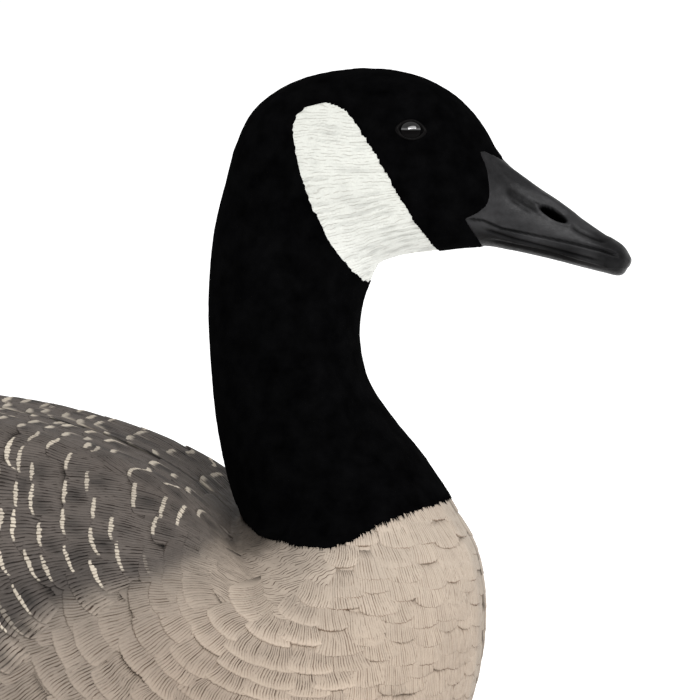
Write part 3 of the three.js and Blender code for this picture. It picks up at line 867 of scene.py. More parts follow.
def make_hollow(side):
    """The scratched hollow behind the neck on one side."""
    spacing, columns = HOLLOW_FINENESS[side]
    rows = spaced_sections((*HOLLOW_SECTIONS, spacing))
    t, angle = np.meshgrid(rows, np.linspace(*HOLLOW_ANGLES, columns), indexing="ij")
    smooth = form_point(t, angle)
    behind = behind_collar(t, angle)
    under = feather_reach(angle)
    plain = falling(behind, under + 5, under + 11) * smoothstep(hollow_reach(angle), 1, 6)
    plain = plain * smoothstep(behind, -3, -1)
    lumps = 0.14 * smooth_noise(smooth, 2.6, 41) + 0.1 * smooth_noise(smooth, 1.3, 42)
    height = -1.5 + (1.58 + lumps) * smoothstep(plain, 0.1, 0.6)
    shade = body_paint(t, angle, smooth) * (1 + 0.1 * smooth_noise(smooth, 3, 43))[..., None]
    across = path_length(smooth.swapaxes(0, 1)).T
    across = across + 1.6 * smooth_noise(smooth, 4.5, 44) + 0.6 * smooth_noise(smooth, 2, 45)
    carving = [across / 1.35, behind / 2.2, 0.82 * smoothstep(plain, 0.3, 0.6)]
    inlay("neck_hollow_", side, t, angle, height, shade, FLANK_PAINT, carving)


CHEEK_SECTIONS = (8.4, 16.8)
CHEEK_ANGLES = (0.75, math.pi - 0.004)
CHEEK_FINENESS = {RIGHT: (0.42, 124), LEFT: (0.6, 90)}
FURROW_SPACING = 2.7


def cheek_level(points):
    """The height over which the cheek's carved lines are spaced; they rise forwards lower down."""
    x, z = points[..., 0], points[..., 2]
    slope = 0.36 * falling(z, 245, 285)
    return z - slope * (x - 245) + 1.3 * smooth_noise(points * (0.35, 1, 0.6), 5, 21)


def cheek_relief(points):
    """Shallow furrows across the cheek."""
    level = cheek_level(points) + 0.5 * smooth_noise(points * (0.6, 1, 1), 2.4, 22)
    furrows = np.sin(2 * math.pi * level / FURROW_SPACING)
    broken = smoothstep(smooth_noise(points * (0.4, 1, 0.8), 4, 23), -0.5, 0.5)
    return 0.19 * furrows * broken + 0.16 * smooth_noise(points * (0.5, 1, 1), 2.6, 24)


def make_cheek(side):
    """The carved white cheek patch of one side."""
    spacing, columns = CHEEK_FINENESS[side]
    rows = spaced_sections((*CHEEK_SECTIONS, spacing))
    t, angle = np.meshgrid(rows, np.linspace(*CHEEK_ANGLES, columns), indexing="ij")
    smooth = form_point(t, angle)
    relief = cheek_relief(smooth)
    off_patch = -outline_distance(smooth[..., 0], smooth[..., 2], CHEEK_OUTLINE)
    # the low part of the cheek is painted lighter, as painted fill light from below
    shade = mix(CHEEK_LOW_PAINTED_LIGHT, CHEEK_PAINT, smoothstep(smooth[..., 2], 240, 272))
    # the furrows' troughs are painted darker, as painted shade
    shade = mix(CHEEK_FURROW_SHADE * shade, shade, smoothstep(relief, -0.2, 0))
    scratches = cheek_level(smooth) + 0.5 * smooth_noise(smooth * (0.5, 1, 1), 1.8, 25)
    carving = [scratches / 1.15, smooth[..., 0] / 2.2, np.full(t.shape, 0.29)]
    height = relief - 1.3 * smoothstep(off_patch, 0.8, 3)
    inlay("cheek_patch_", side, t, angle, height, shade, CHEEK_PAINT, carving)


SKIN_STRETCHES = ((7.4, 8.6, 1.4), (8.6, 16.4, 2.5), (16.4, 23, 4), (23, LAST, 5))
SKIN_COLUMNS = 200


def make_skin():
    t, angle = form_grid(spaced_sections(*SKIN_STRETCHES), SKIN_COLUMNS)
    smooth = form_point(t, angle)
    x, z = smooth[..., 0], smooth[..., 2]
    in_cheek = smoothstep(outline_distance(x, z, CHEEK_OUTLINE), -4, -1)
    in_bill = smoothstep(outline_distance(x, z, BILL_OUTLINE), -1.5, 0.5)
    height = UNDER_FLOCK + (UNDER_CHEEK - UNDER_FLOCK) * in_cheek
    height = height + (UNDER_FEATHERS - UNDER_FLOCK) * smoothstep(behind_collar(t, angle), -6, 0)
    height = height + (UNDER_BILL - UNDER_FLOCK) * in_bill + wing_base(t, angle)
    parts = loft(on_ground(raised(t, angle, height)))
    skin = new_piece("goose_skin", parts, PAINT, with_ends(body_paint(t, angle, smooth)))
    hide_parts("moulded_goose")


# The flocking

FLOCK_STRETCHES = ((5.4, 9, 0.75), (9, 15.3, 0.8), (15.3, 22.6, 1.6), (22.6, 27.2, 0.6))
FLOCK_COLUMNS = 240
FLOCK_EDGE_SLOPE = 1.6
TUFT_SPACING = 0.75
# A tuft's five points are its right, upper, left and lower root and its tip
TUFT_FACES = np.array([(0, 4, 1), (1, 4, 2), (2, 4, 3), (3, 4, 0), (0, 1, 2), (0, 2, 3)])


def make_flocking():
    t, angle = form_grid(spaced_sections(*FLOCK_STRETCHES), FLOCK_COLUMNS)
    smooth = form_point(t, angle)
    x, z = smooth[..., 0], smooth[..., 2]
    jag = 0.34 * smooth_noise(smooth, 1.1, 31) + 0.16 * smooth_noise(smooth, 3, 32)
    off_bill = -outline_distance(x, z, BILL_OUTLINE) + 0.3 * jag
    off_cheek = -outline_distance(x, z, CHEEK_OUTLINE) + 1.2 * jag
    behind = behind_collar(t, angle)
    comb = smooth_noise(np.stack([angle * 40, 0 * t, 0.15 * behind], axis=-1), 1.6, 33)
    above_collar = -behind + 1.4 * jag + 0.6 * comb
    inside = np.minimum(np.minimum(off_bill, off_cheek), above_collar)
    strands = 0.09 * smooth_noise(smooth, 1.1, 34) + 0.1 * smooth_noise(smooth * (1, 1, 0.2), 3, 35)
    pile = FLOCK_HEIGHT + strands
    # the pile's edge dives under the bill ahead, the cheek patch beside it and the feathers below
    deepest = np.select([t <= 8, t < 17], [UNDER_BILL, UNDER_CHEEK - 0.5], HIDDEN)
    height = np.clip(FLOCK_EDGE_SLOPE * inside, deepest, pile)
    new_piece("flocking", loft(raised(t, angle, height)), FLOCK)


def collar_point(angle, behind, height):
    """A point at a distance behind the collar and a height above the form."""
    nearest = np.round(np.abs(angle) / math.pi * (len(TABLE_ANGLE) - 1)).astype(int)
    t = np.array([np.interp(far, BEHIND_COLLAR[:, k], TABLE_T) for far, k in zip(behind, nearest)])
    return raised(t, angle, np.full(len(t), height))


def make_collar_tufts():
    """Small tufts of pile that hang over the feathers along the collar."""
    random = np.random.default_rng(36)
    angle = np.linspace(-math.pi, math.pi, 4000)
    length = path_length(form_point(np.interp(np.abs(angle), COLLAR[:, 0], COLLAR[:, 1]), angle))
    place = np.arange(0, length[-1], TUFT_SPACING)
    place = place + TUFT_SPACING * random.uniform(-0.4, 0.4, len(place))
    count = len(place)
    half = random.uniform(0.3, 0.6, count)
    root = np.full(count, -1.6)
    tip = 0.4 + 1.7 * random.uniform(0, 1, count) ** 1.6 + 0.5 * smooth_noise(np.stack([place] * 3, 1), 6, 37)
    lean = random.normal(0, 0.25, count)
    ends = []
    for offset, behind, height in ((-half, root, 0.2), (0, root, 0.62), (half, root, 0.2), (0, root, -0.5),
                                   (lean, tip, 0.5)):
        ends.append(collar_point(np.interp(place + offset, length, angle), behind, height))
    points = np.stack(ends, axis=1).reshape(-1, 3)
    triangles = (TUFT_FACES + 5 * np.arange(count)[:, None, None]).reshape(-1, 3)
    uv = np.broadcast_to([(0.1, 0.1), (0.9, 0.1), (0.5, 0.9)], (count, len(TUFT_FACES), 3, 2))
    uv = cell_uv(uv, np.arange(count)[:, None, None], count)
    new_piece("collar_tufts", (points, NO_QUADS, triangles, uv), FLOCK)


# The carved feathers: one coat of overlapping plates, in rows that run round the foot of the neck

COAT_CENTRE = (245, 158)
COAT_DROP = 1.15
# How far a coat's rows lean to the rear above a height: (share, reach, height, where it sets in)
BODY_LEAN = (0.9, 34, 135, (60, 160))
WING_LEAN = (0.6, 60, 120, (32, 112))
LEAST_SLOPE = 0.45
FIRST_ROW = -4
ROW_STEP = 0.125
OVERLAP = 1.8
SHOWN_FROM = 1 - 1 / OVERLAP
UNDER_PLATE = -1.3
SEAM_GAP = 0.003
SEAM_REACH = 0.02


def coat_distance(points, lean):
    """Millimetres behind and below the foot of the neck, in level rows down the breast and in
    upright ones along the flank."""
    back = COAT_CENTRE[0] - points[..., 0]
    height = points[..., 2]
    share, reach, level, onset = lean
    back = back - share * smoothstep(back, *onset) * reach * np.tanh(np.maximum(0, height - level) / reach)
    down = COAT_DROP * (COAT_CENTRE[1] - height)
    round_corner = np.hypot(np.maximum(0, back), np.maximum(0, down))
    return np.where((back < 0) & (down < 0), np.maximum(back, down), round_corner)


def body_pitch(distance):
    return 7.1 + 15.5 * (1 - np.exp(-np.maximum(0, distance - 75) / 150))


def body_width(distance):
    return np.clip(14 + 0.06 * (distance - 60), 14, 26)


def wing_pitch(distance):
    return 6.4 + 14 * (1 - np.exp(-np.maximum(0, distance - 110) / 170))


def wing_width(distance):
    return np.clip(14 + 0.11 * (distance - 45), 13, 29)


class Coat:
    """Tables of the row number over the form, and of the section of a row at an angle."""

    def __init__(self, row_pitch, feather_width, lean):
        self.feather_width = feather_width
        distance = coat_distance(TABLE_POINTS, lean)
        distance = np.where(BEHIND_COLLAR < 0, at_collar(distance) + BEHIND_COLLAR, distance)
        rises = np.maximum(np.diff(distance, axis=0), LEAST_SLOPE * np.diff(BEHIND_COLLAR, axis=0) + 1e-5)
        self.distance = distance[:1] + running_total(rises)
        fine = np.linspace(self.distance.min(), self.distance.max(), 4000)
        count = running_total(np.diff(fine) / row_pitch(fine[:-1]))
        self.rows = np.interp(self.distance, fine, count - np.interp(0, fine, count))
        values = np.arange(FIRST_ROW, self.rows.max() + 1, ROW_STEP)
        self.sections = np.stack([np.interp(values, column, TABLE_T) for column in self.rows.T], axis=1)
        self.row_count = int(self.rows.max()) + 1
        self.turns = self.turn_table()

    def turn_table(self):
        """How the angle changes with the row number along a line that crosses the rows squarely."""
        dt = TABLE_T[1] - TABLE_T[0]
        da = TABLE_ANGLE[1] - TABLE_ANGLE[0]
        by_t = np.gradient(TABLE_POINTS, dt, axis=0)
        by_a = np.gradient(TABLE_POINTS, da, axis=1)
        g_tt = (by_t * by_t).sum(-1)
        g_ta = (by_t * by_a).sum(-1)
        g_aa = (by_a * by_a).sum(-1)
        q_t = np.gradient(self.rows, dt, axis=0)
        q_a = np.gradient(self.rows, da, axis=1)
        size = np.maximum(g_tt * g_aa - g_ta**2, 1e-6)
        up_t = (g_aa * q_t - g_ta * q_a) / size
        up_a = (g_tt * q_a - g_ta * q_t) / size
        return np.clip(up_a / np.maximum(q_t * up_t + q_a * up_a, 1e-9), -0.25, 0.25)

    def section_at(self, row, angle):
        return look_up(self.sections, (row - FIRST_ROW) / ROW_STEP, angle)


BODY_COAT = Coat(body_pitch, body_width, BODY_LEAN)
WING_COAT = Coat(wing_pitch, wing_width, WING_LEAN)


def off_seams(angle):
    """Angles kept to the right half, gathering beside the seams along the back and the breast."""
    def gathered(gap):
        near = SEAM_GAP + SEAM_REACH * np.exp(np.minimum(0, gap - SEAM_REACH - SEAM_GAP) / SEAM_REACH)
        return np.where(gap < SEAM_REACH + SEAM_GAP, near, gap)

    return math.pi - gathered(math.pi - gathered(angle))


class FeatherRow:
    """The feathers of one row on the bird's right, from the back to the breast."""

    def __init__(self, coat, row, side, random, wanted):
        self.coat = coat
        self.row = row
        placing = np.random.default_rng([row + 50, 1 + (side == LEFT)])
        angles = np.linspace(-0.1, math.pi + 0.1, 800)
        t = coat.section_at(np.full(angles.shape, row + 0.5), angles)
        lengths = path_length(form_point(t, angles))
        spacing = 0.88 * coat.feather_width(at_form(coat.distance, t, angles))
        number = running_total(np.diff(lengths) / ((spacing[1:] + spacing[:-1]) / 2))
        places = np.arange(0.5 * (row % 2) + 0.2 * placing.uniform(-1, 1), number[-1], 1.0)
        places = places + placing.uniform(-0.18, 0.18, len(places))
        centres = np.interp(places, number, lengths)
        angle = np.interp(centres, lengths, angles)
        t = coat.section_at(np.full(len(centres), row + 0.5), angle)
        behind = behind_collar(t, angle)
        middle = form_point(t, angle)
        keep = (angle > 0) & (angle < math.pi) & (t < LAST - 1.6) & (middle[:, 2] > 2)
        reach = feather_reach(angle)
        keep &= (behind > -3) & wanted(middle, t, angle) & ((reach < 3) | (behind > reach))
        self.angles = angles
        self.lengths = lengths
        self.centres = centres[keep]
        self.angle = angle[keep]
        self.t = t[keep]
        self.behind = behind[keep]
        self.count = len(self.centres)
        distance = at_form(coat.distance, self.t, self.angle)
        ahead = form_point(coat.section_at(np.full(self.count, row + 1.0), self.angle), self.angle)
        pitch = 2 * np.linalg.norm(ahead - form_point(self.t, self.angle), axis=-1)
        self.pitch = np.clip(pitch, 4, 30)
        reach = reach[keep]
        self.by_hollow = (reach > 1) & (self.behind < reach + 1.4 * self.pitch)
        self.width = coat.feather_width(distance) * random.uniform(0.98, 1.24, self.count)

    def place(self, shares, c, random, roundness, ragged, sway, scatter):
        """Sections and angles of the plates' grids. Shares go from 0 at a feather's root to 1 at its
        tip, and c from -1 to 1 across it; both are (feathers, rows, columns)."""
        bend = 1 - np.sqrt(np.maximum(0, 1 - (0.98 * c[:, 0]) ** 2))
        drop = roundness * bend * self.width[:, None] / 2 + ragged
        shift = scatter * random.uniform(-1, 1, self.count)[:, None]
        tip_row = self.row + 1 + shift - drop / self.pitch[:, None]
        q = tip_row[:, None, :] - OVERLAP * (1 - shares)
        wave = random.uniform(0, 2 * math.pi, self.count)[:, None, None]
        slant = random.normal(0, 0.6, self.count)[:, None, None] * (shares - 0.6)
        across = c * self.width[:, None, None] / 2 * (0.76 + 0.24 * shares)
        across = across + sway * np.sin(2 * math.pi * 1.2 * shares + wave) + slant
        turn = at_form(self.coat.turns, self.t, self.angle)[:, None, None] * (q - self.row - 0.5)
        angle = off_seams(np.interp(self.centres[:, None, None] + across, self.lengths, self.angles) + turn)
        return self.coat.section_at(q, angle), angle


def barb_columns(random, count, barbs, usual, split, split_chance):
    """Positions across feathers, three to a barb: its two edges and the groove after it. Also how
    deep each column is cut."""
    starts = np.arange(barbs)
    cells = np.stack([starts, starts + 0.62, starts + 0.81], 1).ravel()[:-1]
    is_cut = np.tile([False, False, True], barbs)[:-1]
    shift = random.uniform(-0.16, 0.16, (count, barbs))
    place = cells[None, :] + np.repeat(shift, 3, axis=1)[:, :-1]
    place[:, 0] = 0
    place[:, -1] = cells[-1]
    depth = usual * random.uniform(0.3, 1.3, place.shape)
    splits = random.uniform(0, 1, place.shape) < split_chance
    depth = np.where(is_cut, np.where(splits, split, depth), 0)
    return 2 * place / cells[-1] - 1, depth, cells


class FeatherMesh:
    """Gathers closed feather plates into one mesh."""

    def __init__(self):
        self.points = []
        self.paints = []
        self.carvings = []
        self.uvs = []
        self.quads = []
        self.triangles = []
        self.count = 0

    def add(self, t, angle, heights, bevel, fall, paint, edge_wash_and_shade, carving, side):
        """Plates from grids of (feathers, rows, columns), with a bevel added at the tip, bevel long
        and falling by fall, and a wall from it down into the skin. The bevel and the wall take the edge
        colour, with its painted shade, and the wall's foot is painted darker still as shade."""
        carving = np.concatenate([carving, carving[:, -1:], carving[:, -1:]], axis=1)
        t = np.concatenate([t, t[:, -1:]], axis=1)
        angle = np.concatenate([angle, angle[:, -1:]], axis=1)
        heights = np.concatenate([heights, heights[:, -1:] - fall], axis=1)
        surface = form_point(t, angle)
        normal = form_normal(t, angle)
        forward = surface[:, -2] - surface[:, -4]
        forward = forward / np.maximum(np.linalg.norm(forward, axis=-1, keepdims=True), 1e-6)
        surface[:, -1] += forward * bevel
        top = surface + normal * heights[..., None]
        under = surface[:, -1:] + normal[:, -1:] * UNDER_PLATE
        grid = np.concatenate([top, under], axis=1)
        # the wall's foot is painted darker, as painted shade under the tip
        colour = np.concatenate([paint, edge_wash_and_shade[:, None], 0.8 * edge_wash_and_shade[:, None]], axis=1)
        grid, colour, carving = on_side(side, grid, colour, carving)
        count, rows, columns = grid.shape[:3]
        corners = np.arange((rows - 1) * columns).reshape(rows - 1, columns)[:, :-1].ravel()
        quads = np.stack([corners, corners + columns, corners + columns + 1, corners + 1], 1)
        j = np.arange(columns - 1)
        low = (rows - 1) * columns + j
        quads = np.concatenate([quads, np.stack([low, j, j + 1, low + 1], 1)])
        first = np.arange(1, rows - 1) * columns
        sides = np.concatenate([
            np.stack([first + columns, first, np.zeros(rows - 2, int)], 1),
            np.stack([np.full(rows - 2, columns - 1), first + columns - 1, first + 2 * columns - 1], 1),
        ])
        offsets = self.count + rows * columns * np.arange(count)[:, None, None]
        self.quads.append((quads[None] + offsets).reshape(-1, 4))
        self.triangles.append((sides[None] + offsets).reshape(-1, 3))
        for values, gathered in ((grid, self.points), (colour, self.paints), (carving, self.carvings)):
            gathered.append(values.reshape(-1, 3))
        across, along = np.meshgrid(np.linspace(0.04, 0.96, columns), np.linspace(0.04, 0.96, rows))
        uv = np.stack([across.ravel(), along.ravel()], 1)
        self.uvs.append(np.broadcast_to(uv, (count, rows * columns, 2)))
        self.count += count * rows * columns

    def make(self, name):
        lists = (self.uvs, self.points, self.quads, self.triangles, self.paints, self.carvings)
        uv, points, quads, triangles, paint, carving = (np.concatenate(arrays) for arrays in lists)
        place = cell_uv(uv, np.arange(len(uv))[:, None], len(uv)).reshape(-1, 2)
        loop_uv = np.concatenate([place[quads].reshape(-1, 2), place[triangles].reshape(-1, 2)])
        new_piece(name, (on_ground(points), quads, triangles, loop_uv), PAINT, np.clip(paint, 0, 1), carving)


def feather_carving(feathers, shares, cells, random, depth):
    """Where points of feathers lie across their barbs and along them, and how deep the cuts are."""
    start = np.round(random.uniform(0, 400, feathers.count))[:, None, None]
    along = OVERLAP * feathers.pitch[:, None, None] * shares / 3 + start
    parts = [cells + start, along, np.broadcast_to(depth, shares.shape)]
    return np.stack(np.broadcast_arrays(*parts), axis=-1)


BODY_SHARES = np.array([0, 0.44, 0.6, 0.8, 1])
HOLLOW_ROOT = 0.32


def body_plates(feathers, barbs, mesh, random, side):
    """The feathers of the breast, the flank and the belly."""
    count = feathers.count
    flank = smoothstep(feathers.pitch, 7.6, 10.5)[:, None]
    c, depth, cells = barb_columns(random, count, barbs, 0.2, 0.46, 0.18)
    depth = depth * (1 + 0.5 * flank)
    shares = np.broadcast_to(BODY_SHARES[None, :, None], (count, len(BODY_SHARES), c.shape[1])).copy()
    shares[feathers.by_hollow, 0] = HOLLOW_ROOT
    ragged = 0.16 * random.normal(0, 1, c.shape) + 0.9 * depth
    roundness = random.uniform(0.3, 0.62, count)[:, None] * (1 - 0.4 * flank)
    flank = flank[..., None]
    columns = np.broadcast_to(c[:, None], shares.shape)
    t, angle = feathers.place(shares, columns, random, roundness, ragged, 0.15 + 0.25 * flank, 0.4)
    shown = (shares - SHOWN_FROM) / (1 - SHOWN_FROM)
    grown = smoothstep(feathers.behind, -3, 10)[:, None, None]
    level = 0.02 + 0.3 * grown + random.uniform(-0.06, 0.06, count)[:, None, None]
    step = 0.08 + (0.26 - 0.2 * flank) * random.uniform(0, 1, count)[:, None, None] ** 1.5
    step = step * (0.3 + 0.7 * grown)
    rise = level - step * (1 - np.maximum(0, shown)) + 0.9 * np.minimum(0, shown)
    crown = -(0.3 - 0.12 * flank) * np.abs(c[:, None]) ** 4
    open_part = smoothstep(shares, SHOWN_FROM - 0.1, SHOWN_FROM + 0.08)
    rim = flank * smoothstep(shown, 0.6, 0.9)
    cut = depth[:, None] * (1 - 0.9 * rim) * open_part
    heights = rise + crown - cut + 0.05 * rim
    heights[:, 0] -= 0.4
    base = body_paint(t, angle, form_point(t, angle)) * random.uniform(0.96, 1.04, count)[:, None, None, None]
    base = base * seam_shade(angle, form_point(t, angle))[..., None]
    hollow = flank * smoothstep(shown, -0.2, 0.1) * falling(shown, 0.3, 0.75)
    base = base * (1 + 0.14 * rim - 0.12 * hollow)[..., None]
    line = BREAST_WASH_AND_SHADE_LINE * base / BREAST_PAINT
    paint = mix(base, line, 0.9 * smoothstep(cut, 0.03, 0.42))
    dash = random.uniform(0, 1, count)[:, None] ** 1.3
    middle = random.uniform(-0.4, 0.4, count)[:, None]
    reach = random.uniform(0.35, 0.8, count)[:, None]
    along_edge = falling(np.abs(c - middle), 0.6 * reach, reach)
    flat = flank[:, 0]
    # the dark dashes along each tip's edge and wall are partly a brown wash line and partly painted shadow
    # under the tip
    edge = mix(paint[:, -1], line[:, -1], (0.1 + 0.9 * dash * along_edge) * (1 - 0.75 * flat))
    bevel = ((0.15 + 0.36 * dash) * (1 - flat) + 0.5 * flat)[..., None]
    cuts = (0.43 + 0.19 * flank) * (1 - 0.85 * rim) * random.uniform(0.5, 1.15, count)[:, None, None]
    carving = feather_carving(feathers, shares, cells, random, cuts)
    mesh.add(t, angle, heights, bevel, 0.5 * step + 0.03 + 0.03 * flank, paint, edge, carving, side)


def wing_plates(feathers, barbs, mesh, random, side):
    """The feathers of the folded wing and the back, with their pale tips."""
    count = feathers.count
    c, depth, cells = barb_columns(random, count, barbs, 0.3, 0.6, 0.3)
    near_seam = falling(feathers.angle, 0.12, 0.5)
    stroke = np.interp(feathers.behind, [8, 60, 160], [1.1, 1.55, 2.1]) * random.uniform(0.7, 1.15, count)
    reach = random.uniform(0.55, 0.86, count) * (1 - 0.2 * near_seam)
    offset = (random.normal(0, 0.08, count) - 0.35 * near_seam)[:, None]
    place = (c - offset) / reach[:, None]
    profile = np.maximum(0, 1 - np.abs(place) ** np.where(place < 0, 1.8, 1.2))
    stroke = stroke[:, None] * profile * random.uniform(0.7, 1.15, c.shape)
    stroke = np.where(depth > 0, 0.7, 1) * stroke
    length = (OVERLAP * feathers.pitch)[:, None]
    inner = np.clip(stroke / length, 0.04, 0.2)
    before = 0.74 - 0.3 * inner
    zero = np.zeros_like(inner)
    hook_room = (0.3 + 1.3 * near_seam)[:, None]
    after = np.maximum(before + 0.02, 1 - inner - hook_room / length)
    shares = np.stack([zero, zero + 0.42, zero + 0.56, before, after, 1 - inner, zero + 1], axis=1)
    shares[feathers.by_hollow, 0] = HOLLOW_ROOT
    columns = np.broadcast_to(c[:, None], shares.shape)
    ragged = 0.12 * random.normal(0, 1, c.shape) + 0.6 * depth
    roundness = random.uniform(0.2, 0.42, count)[:, None] * (1 + 0.3 * c)
    t, angle = feathers.place(shares, columns, random, roundness, ragged, 0.2, 0.36)
    shown = (shares - SHOWN_FROM) / (1 - SHOWN_FROM)
    level = 0.3 * smoothstep(feathers.behind, 0, 30) + random.uniform(-0.05, 0.05, count)
    step = 0.1 + 0.14 * random.uniform(0, 1, count)
    rise = level[:, None, None] - step[:, None, None] * (1 - np.maximum(0, shown))
    rise = rise + 0.9 * np.minimum(0, shown)
    crown = -0.26 * np.abs(c[:, None]) ** 4
    open_part = smoothstep(shares, SHOWN_FROM - 0.1, SHOWN_FROM + 0.08)
    cut = depth[:, None] * open_part * (1 - 0.4 * smoothstep(shares, 0.94, 1))
    heights = rise + crown - cut + wing_base(t, np.minimum(angle, wing_edge(t) - 0.02))
    base = body_paint(t, angle, form_point(t, angle)) * random.uniform(0.92, 1.08, count)[:, None, None, None]
    dark = smoothstep(shown, 0.0, 0.5) * falling(shown, 0.8, 1.0)
    spot = random.uniform(-0.6, 0.6, count)[:, None]
    blotch = dark * bell(c - spot, 0.5)[:, None] * random.uniform(0.15, 1, count)[:, None, None]
    paint = base * (1 - 0.66 * blotch)[..., None]
    ridge = 1.2 - 0.84 * smoothstep(cut, 0.02, 0.3)
    paint = paint * ridge[..., None]
    pale = np.zeros(shares.shape)
    pale[:, -2:] = ((stroke > 0.25) * (1 - 0.75 * smoothstep(depth, 0.06, 0.4)))[:, None]
    from_tip = (1 - shares) * length[:, None]
    hook = near_seam[:, None, None] * falling(c, -0.84, -0.7)[:, None] * falling(from_tip, 3, 4)
    pale = np.maximum(pale, 0.85 * hook)
    on_wing = falling(feathers.t, 43, 44)
    clear_of_edge = smoothstep(wing_edge(feathers.t) - feathers.angle, 0.03, 0.08)
    pale = pale * (on_wing * clear_of_edge * random.uniform(0.65, 1, count))[:, None, None]
    paint = mix(paint, CRESCENT_PAINT, pale) * seam_shade(angle, form_point(t, angle))[..., None]
    # the tip's bevel and wall are painted darker, as painted shade under the tip
    edge = 0.6 * paint[:, -1]
    carving = feather_carving(feathers, shares, cells, random, 1 - 0.5 * pale)
    mesh.add(t, angle, heights, 0.25, 0.12, paint, edge, carving, side)


FRONT_END = 100


def make_coat(name, sides, barbs, is_front, on_wing):
    """One mesh of the coat's plates, on the front or rear part of the wings or of the rest."""
    def wanted(middle, t, angle):
        below = angle - wing_edge(t)
        return ((middle[:, 0] > FRONT_END) == is_front) & (below < 0.01 if on_wing else below > -0.05)

    coat = WING_COAT if on_wing else BODY_COAT
    mesh = FeatherMesh()
    for side in sides:
        random = np.random.default_rng(100 + 10 * on_wing + 2 * is_front + (side == LEFT))
        for row in range(-3, coat.row_count):
            feathers = FeatherRow(coat, row, side, random, wanted)
            if feathers.count:
                plates = wing_plates if on_wing else body_plates
                plates(feathers, barbs, mesh, random, side)
    mesh.make(name)


# The coats' meshes: (name, sides, barbs to a feather, in front of FRONT_END, on the wing)
COAT_MESHES = (
    ("breast_feathers_right", (RIGHT,), 16, True, False),
    ("breast_feathers_left", (LEFT,), 8, True, False),
    ("shoulder_feathers_right", (RIGHT,), 14, True, True),
    ("shoulder_feathers_left", (LEFT,), 9, True, True),
    ("belly_feathers", (RIGHT, LEFT), 7, False, False),
    ("back_feathers", (RIGHT, LEFT), 6, False, True),
)


# The long feathers of the wings and the tail

BLADE_BARB = 3.4


def feather_blade(path, length, width, thickness, depth, tip_length, step):
    """Closed rings of one long feather with a shaft and slanted barbs. path gives the middle of its
    top and its upward direction at shares of its length. Returns the rings and how deep each of
    their points is carved."""
    shares = np.linspace(0, 1, round(length / step) + 1)
    middle, up = path(shares)
    forward = np.gradient(middle, axis=0)
    side = np.cross(up, forward)
    side /= np.linalg.norm(side, axis=1, keepdims=True)
    top = np.cross(forward, side)
    top /= np.linalg.norm(top, axis=1, keepdims=True)
    along = shares * length
    into_tip = np.clip((along - length + tip_length) / tip_length, 0, 1)
    half = width / 2 * np.maximum(0.05, np.sqrt(1 - into_tip**2))
    below = depth + (0.3 * thickness - depth) * into_tip**2
    c = np.linspace(-1, 1, 21)
    across = c[None, :] * half[:, None]
    slope = along[:, None] - 0.9 * np.abs(across)
    barb = np.maximum(0, np.cos(2 * math.pi * slope / BLADE_BARB)) ** 2
    off_shaft = smoothstep(np.abs(across), 0.5, 1.6)
    carved = barb * off_shaft
    height = thickness * (0.2 + 0.3 * (1 - np.abs(c[None, :]) ** 1.5)) - 0.3 * carved
    height = height + 0.3 * np.exp(-((across / 0.8) ** 2)) * (1 - into_tip[:, None])
    upper = middle[:, None] + side[:, None] * across[..., None] + top[:, None] * height[..., None]
    low_right = middle + side * half[:, None] - top * below[:, None]
    low_left = middle - side * half[:, None] - top * below[:, None]
    rings = np.concatenate([upper, low_right[:, None], low_left[:, None]], axis=1)
    carved = np.concatenate([carved, np.ones((len(shares), 2))], axis=1)
    return rings, carved


def blade_piece(name, blades, paint):
    """One mesh of several feather blades, each with its own cell of the UV map."""
    pieces = []
    count = 0
    for number, (rings, carved) in enumerate(blades):
        points, quads, triangles, uv = loft(rings)
        uv = cell_uv(uv * 0.94 + 0.03, number, len(blades))
        tone = 1.08 - 0.4 * with_ends(carved[..., None], [[1], [1]])
        corners = 4 * len(quads)
        pieces.append((points, quads + count, triangles + count, uv[:corners], uv[corners:], paint * tone))
        count += len(points)
    points, quads, triangles, quad_uv, triangle_uv, paints = (np.concatenate(part) for part in zip(*pieces))
    new_piece(name, (points, quads, triangles, np.concatenate([quad_uv, triangle_uv])), PAINT, paints)


FLIGHT_FEATHERS = 5
FLIGHT_WIDTH = 22
FLIGHT_THICKNESS = 3
TAIL_FEATHERS = 11
TAIL_LENGTH = 90
TAIL_WIDTH = 23
TAIL_THICKNESS = 2.6
TAIL_TURN = math.radians(25)
TAIL_TIP = -325
TAIL_TOP = 123


def make_flight_feathers():
    blades = []
    for side in (RIGHT, LEFT):
        for share in np.linspace(0, 1, FLIGHT_FEATHERS):
            root_t, root_angle = 41.4 - share, 1.36 - 0.54 * share
            tip_t, tip_angle = 47.2 - 3.3 * share, 0.62 - 0.2 * share
            proud = (0.3 + 0.7 * share) * FLIGHT_THICKNESS

            def path(along):
                t = root_t + (tip_t - root_t) * along
                angle = root_angle + (tip_angle - root_angle) * along
                sunk = -0.6 * FLIGHT_THICKNESS
                lift = WING_STEP * wing_strength(t) + sunk + (proud - sunk) * smoothstep(along, 0, 0.4)
                up = form_normal(t, angle)
                return (form_point(t, angle) + up * lift[:, None]) * MIRROR[side], up * MIRROR[side]

            ends, _ = path(np.array([0.0, 1.0]))
            length = np.linalg.norm(ends[1] - ends[0])
            depth = 2 * FLIGHT_THICKNESS + WING_STEP
            tip = 1.5 * FLIGHT_WIDTH
            blades.append(feather_blade(path, length, FLIGHT_WIDTH, FLIGHT_THICKNESS, depth, tip, 1.7))
    blade_piece("flight_feathers", blades, BLADE_PAINT)


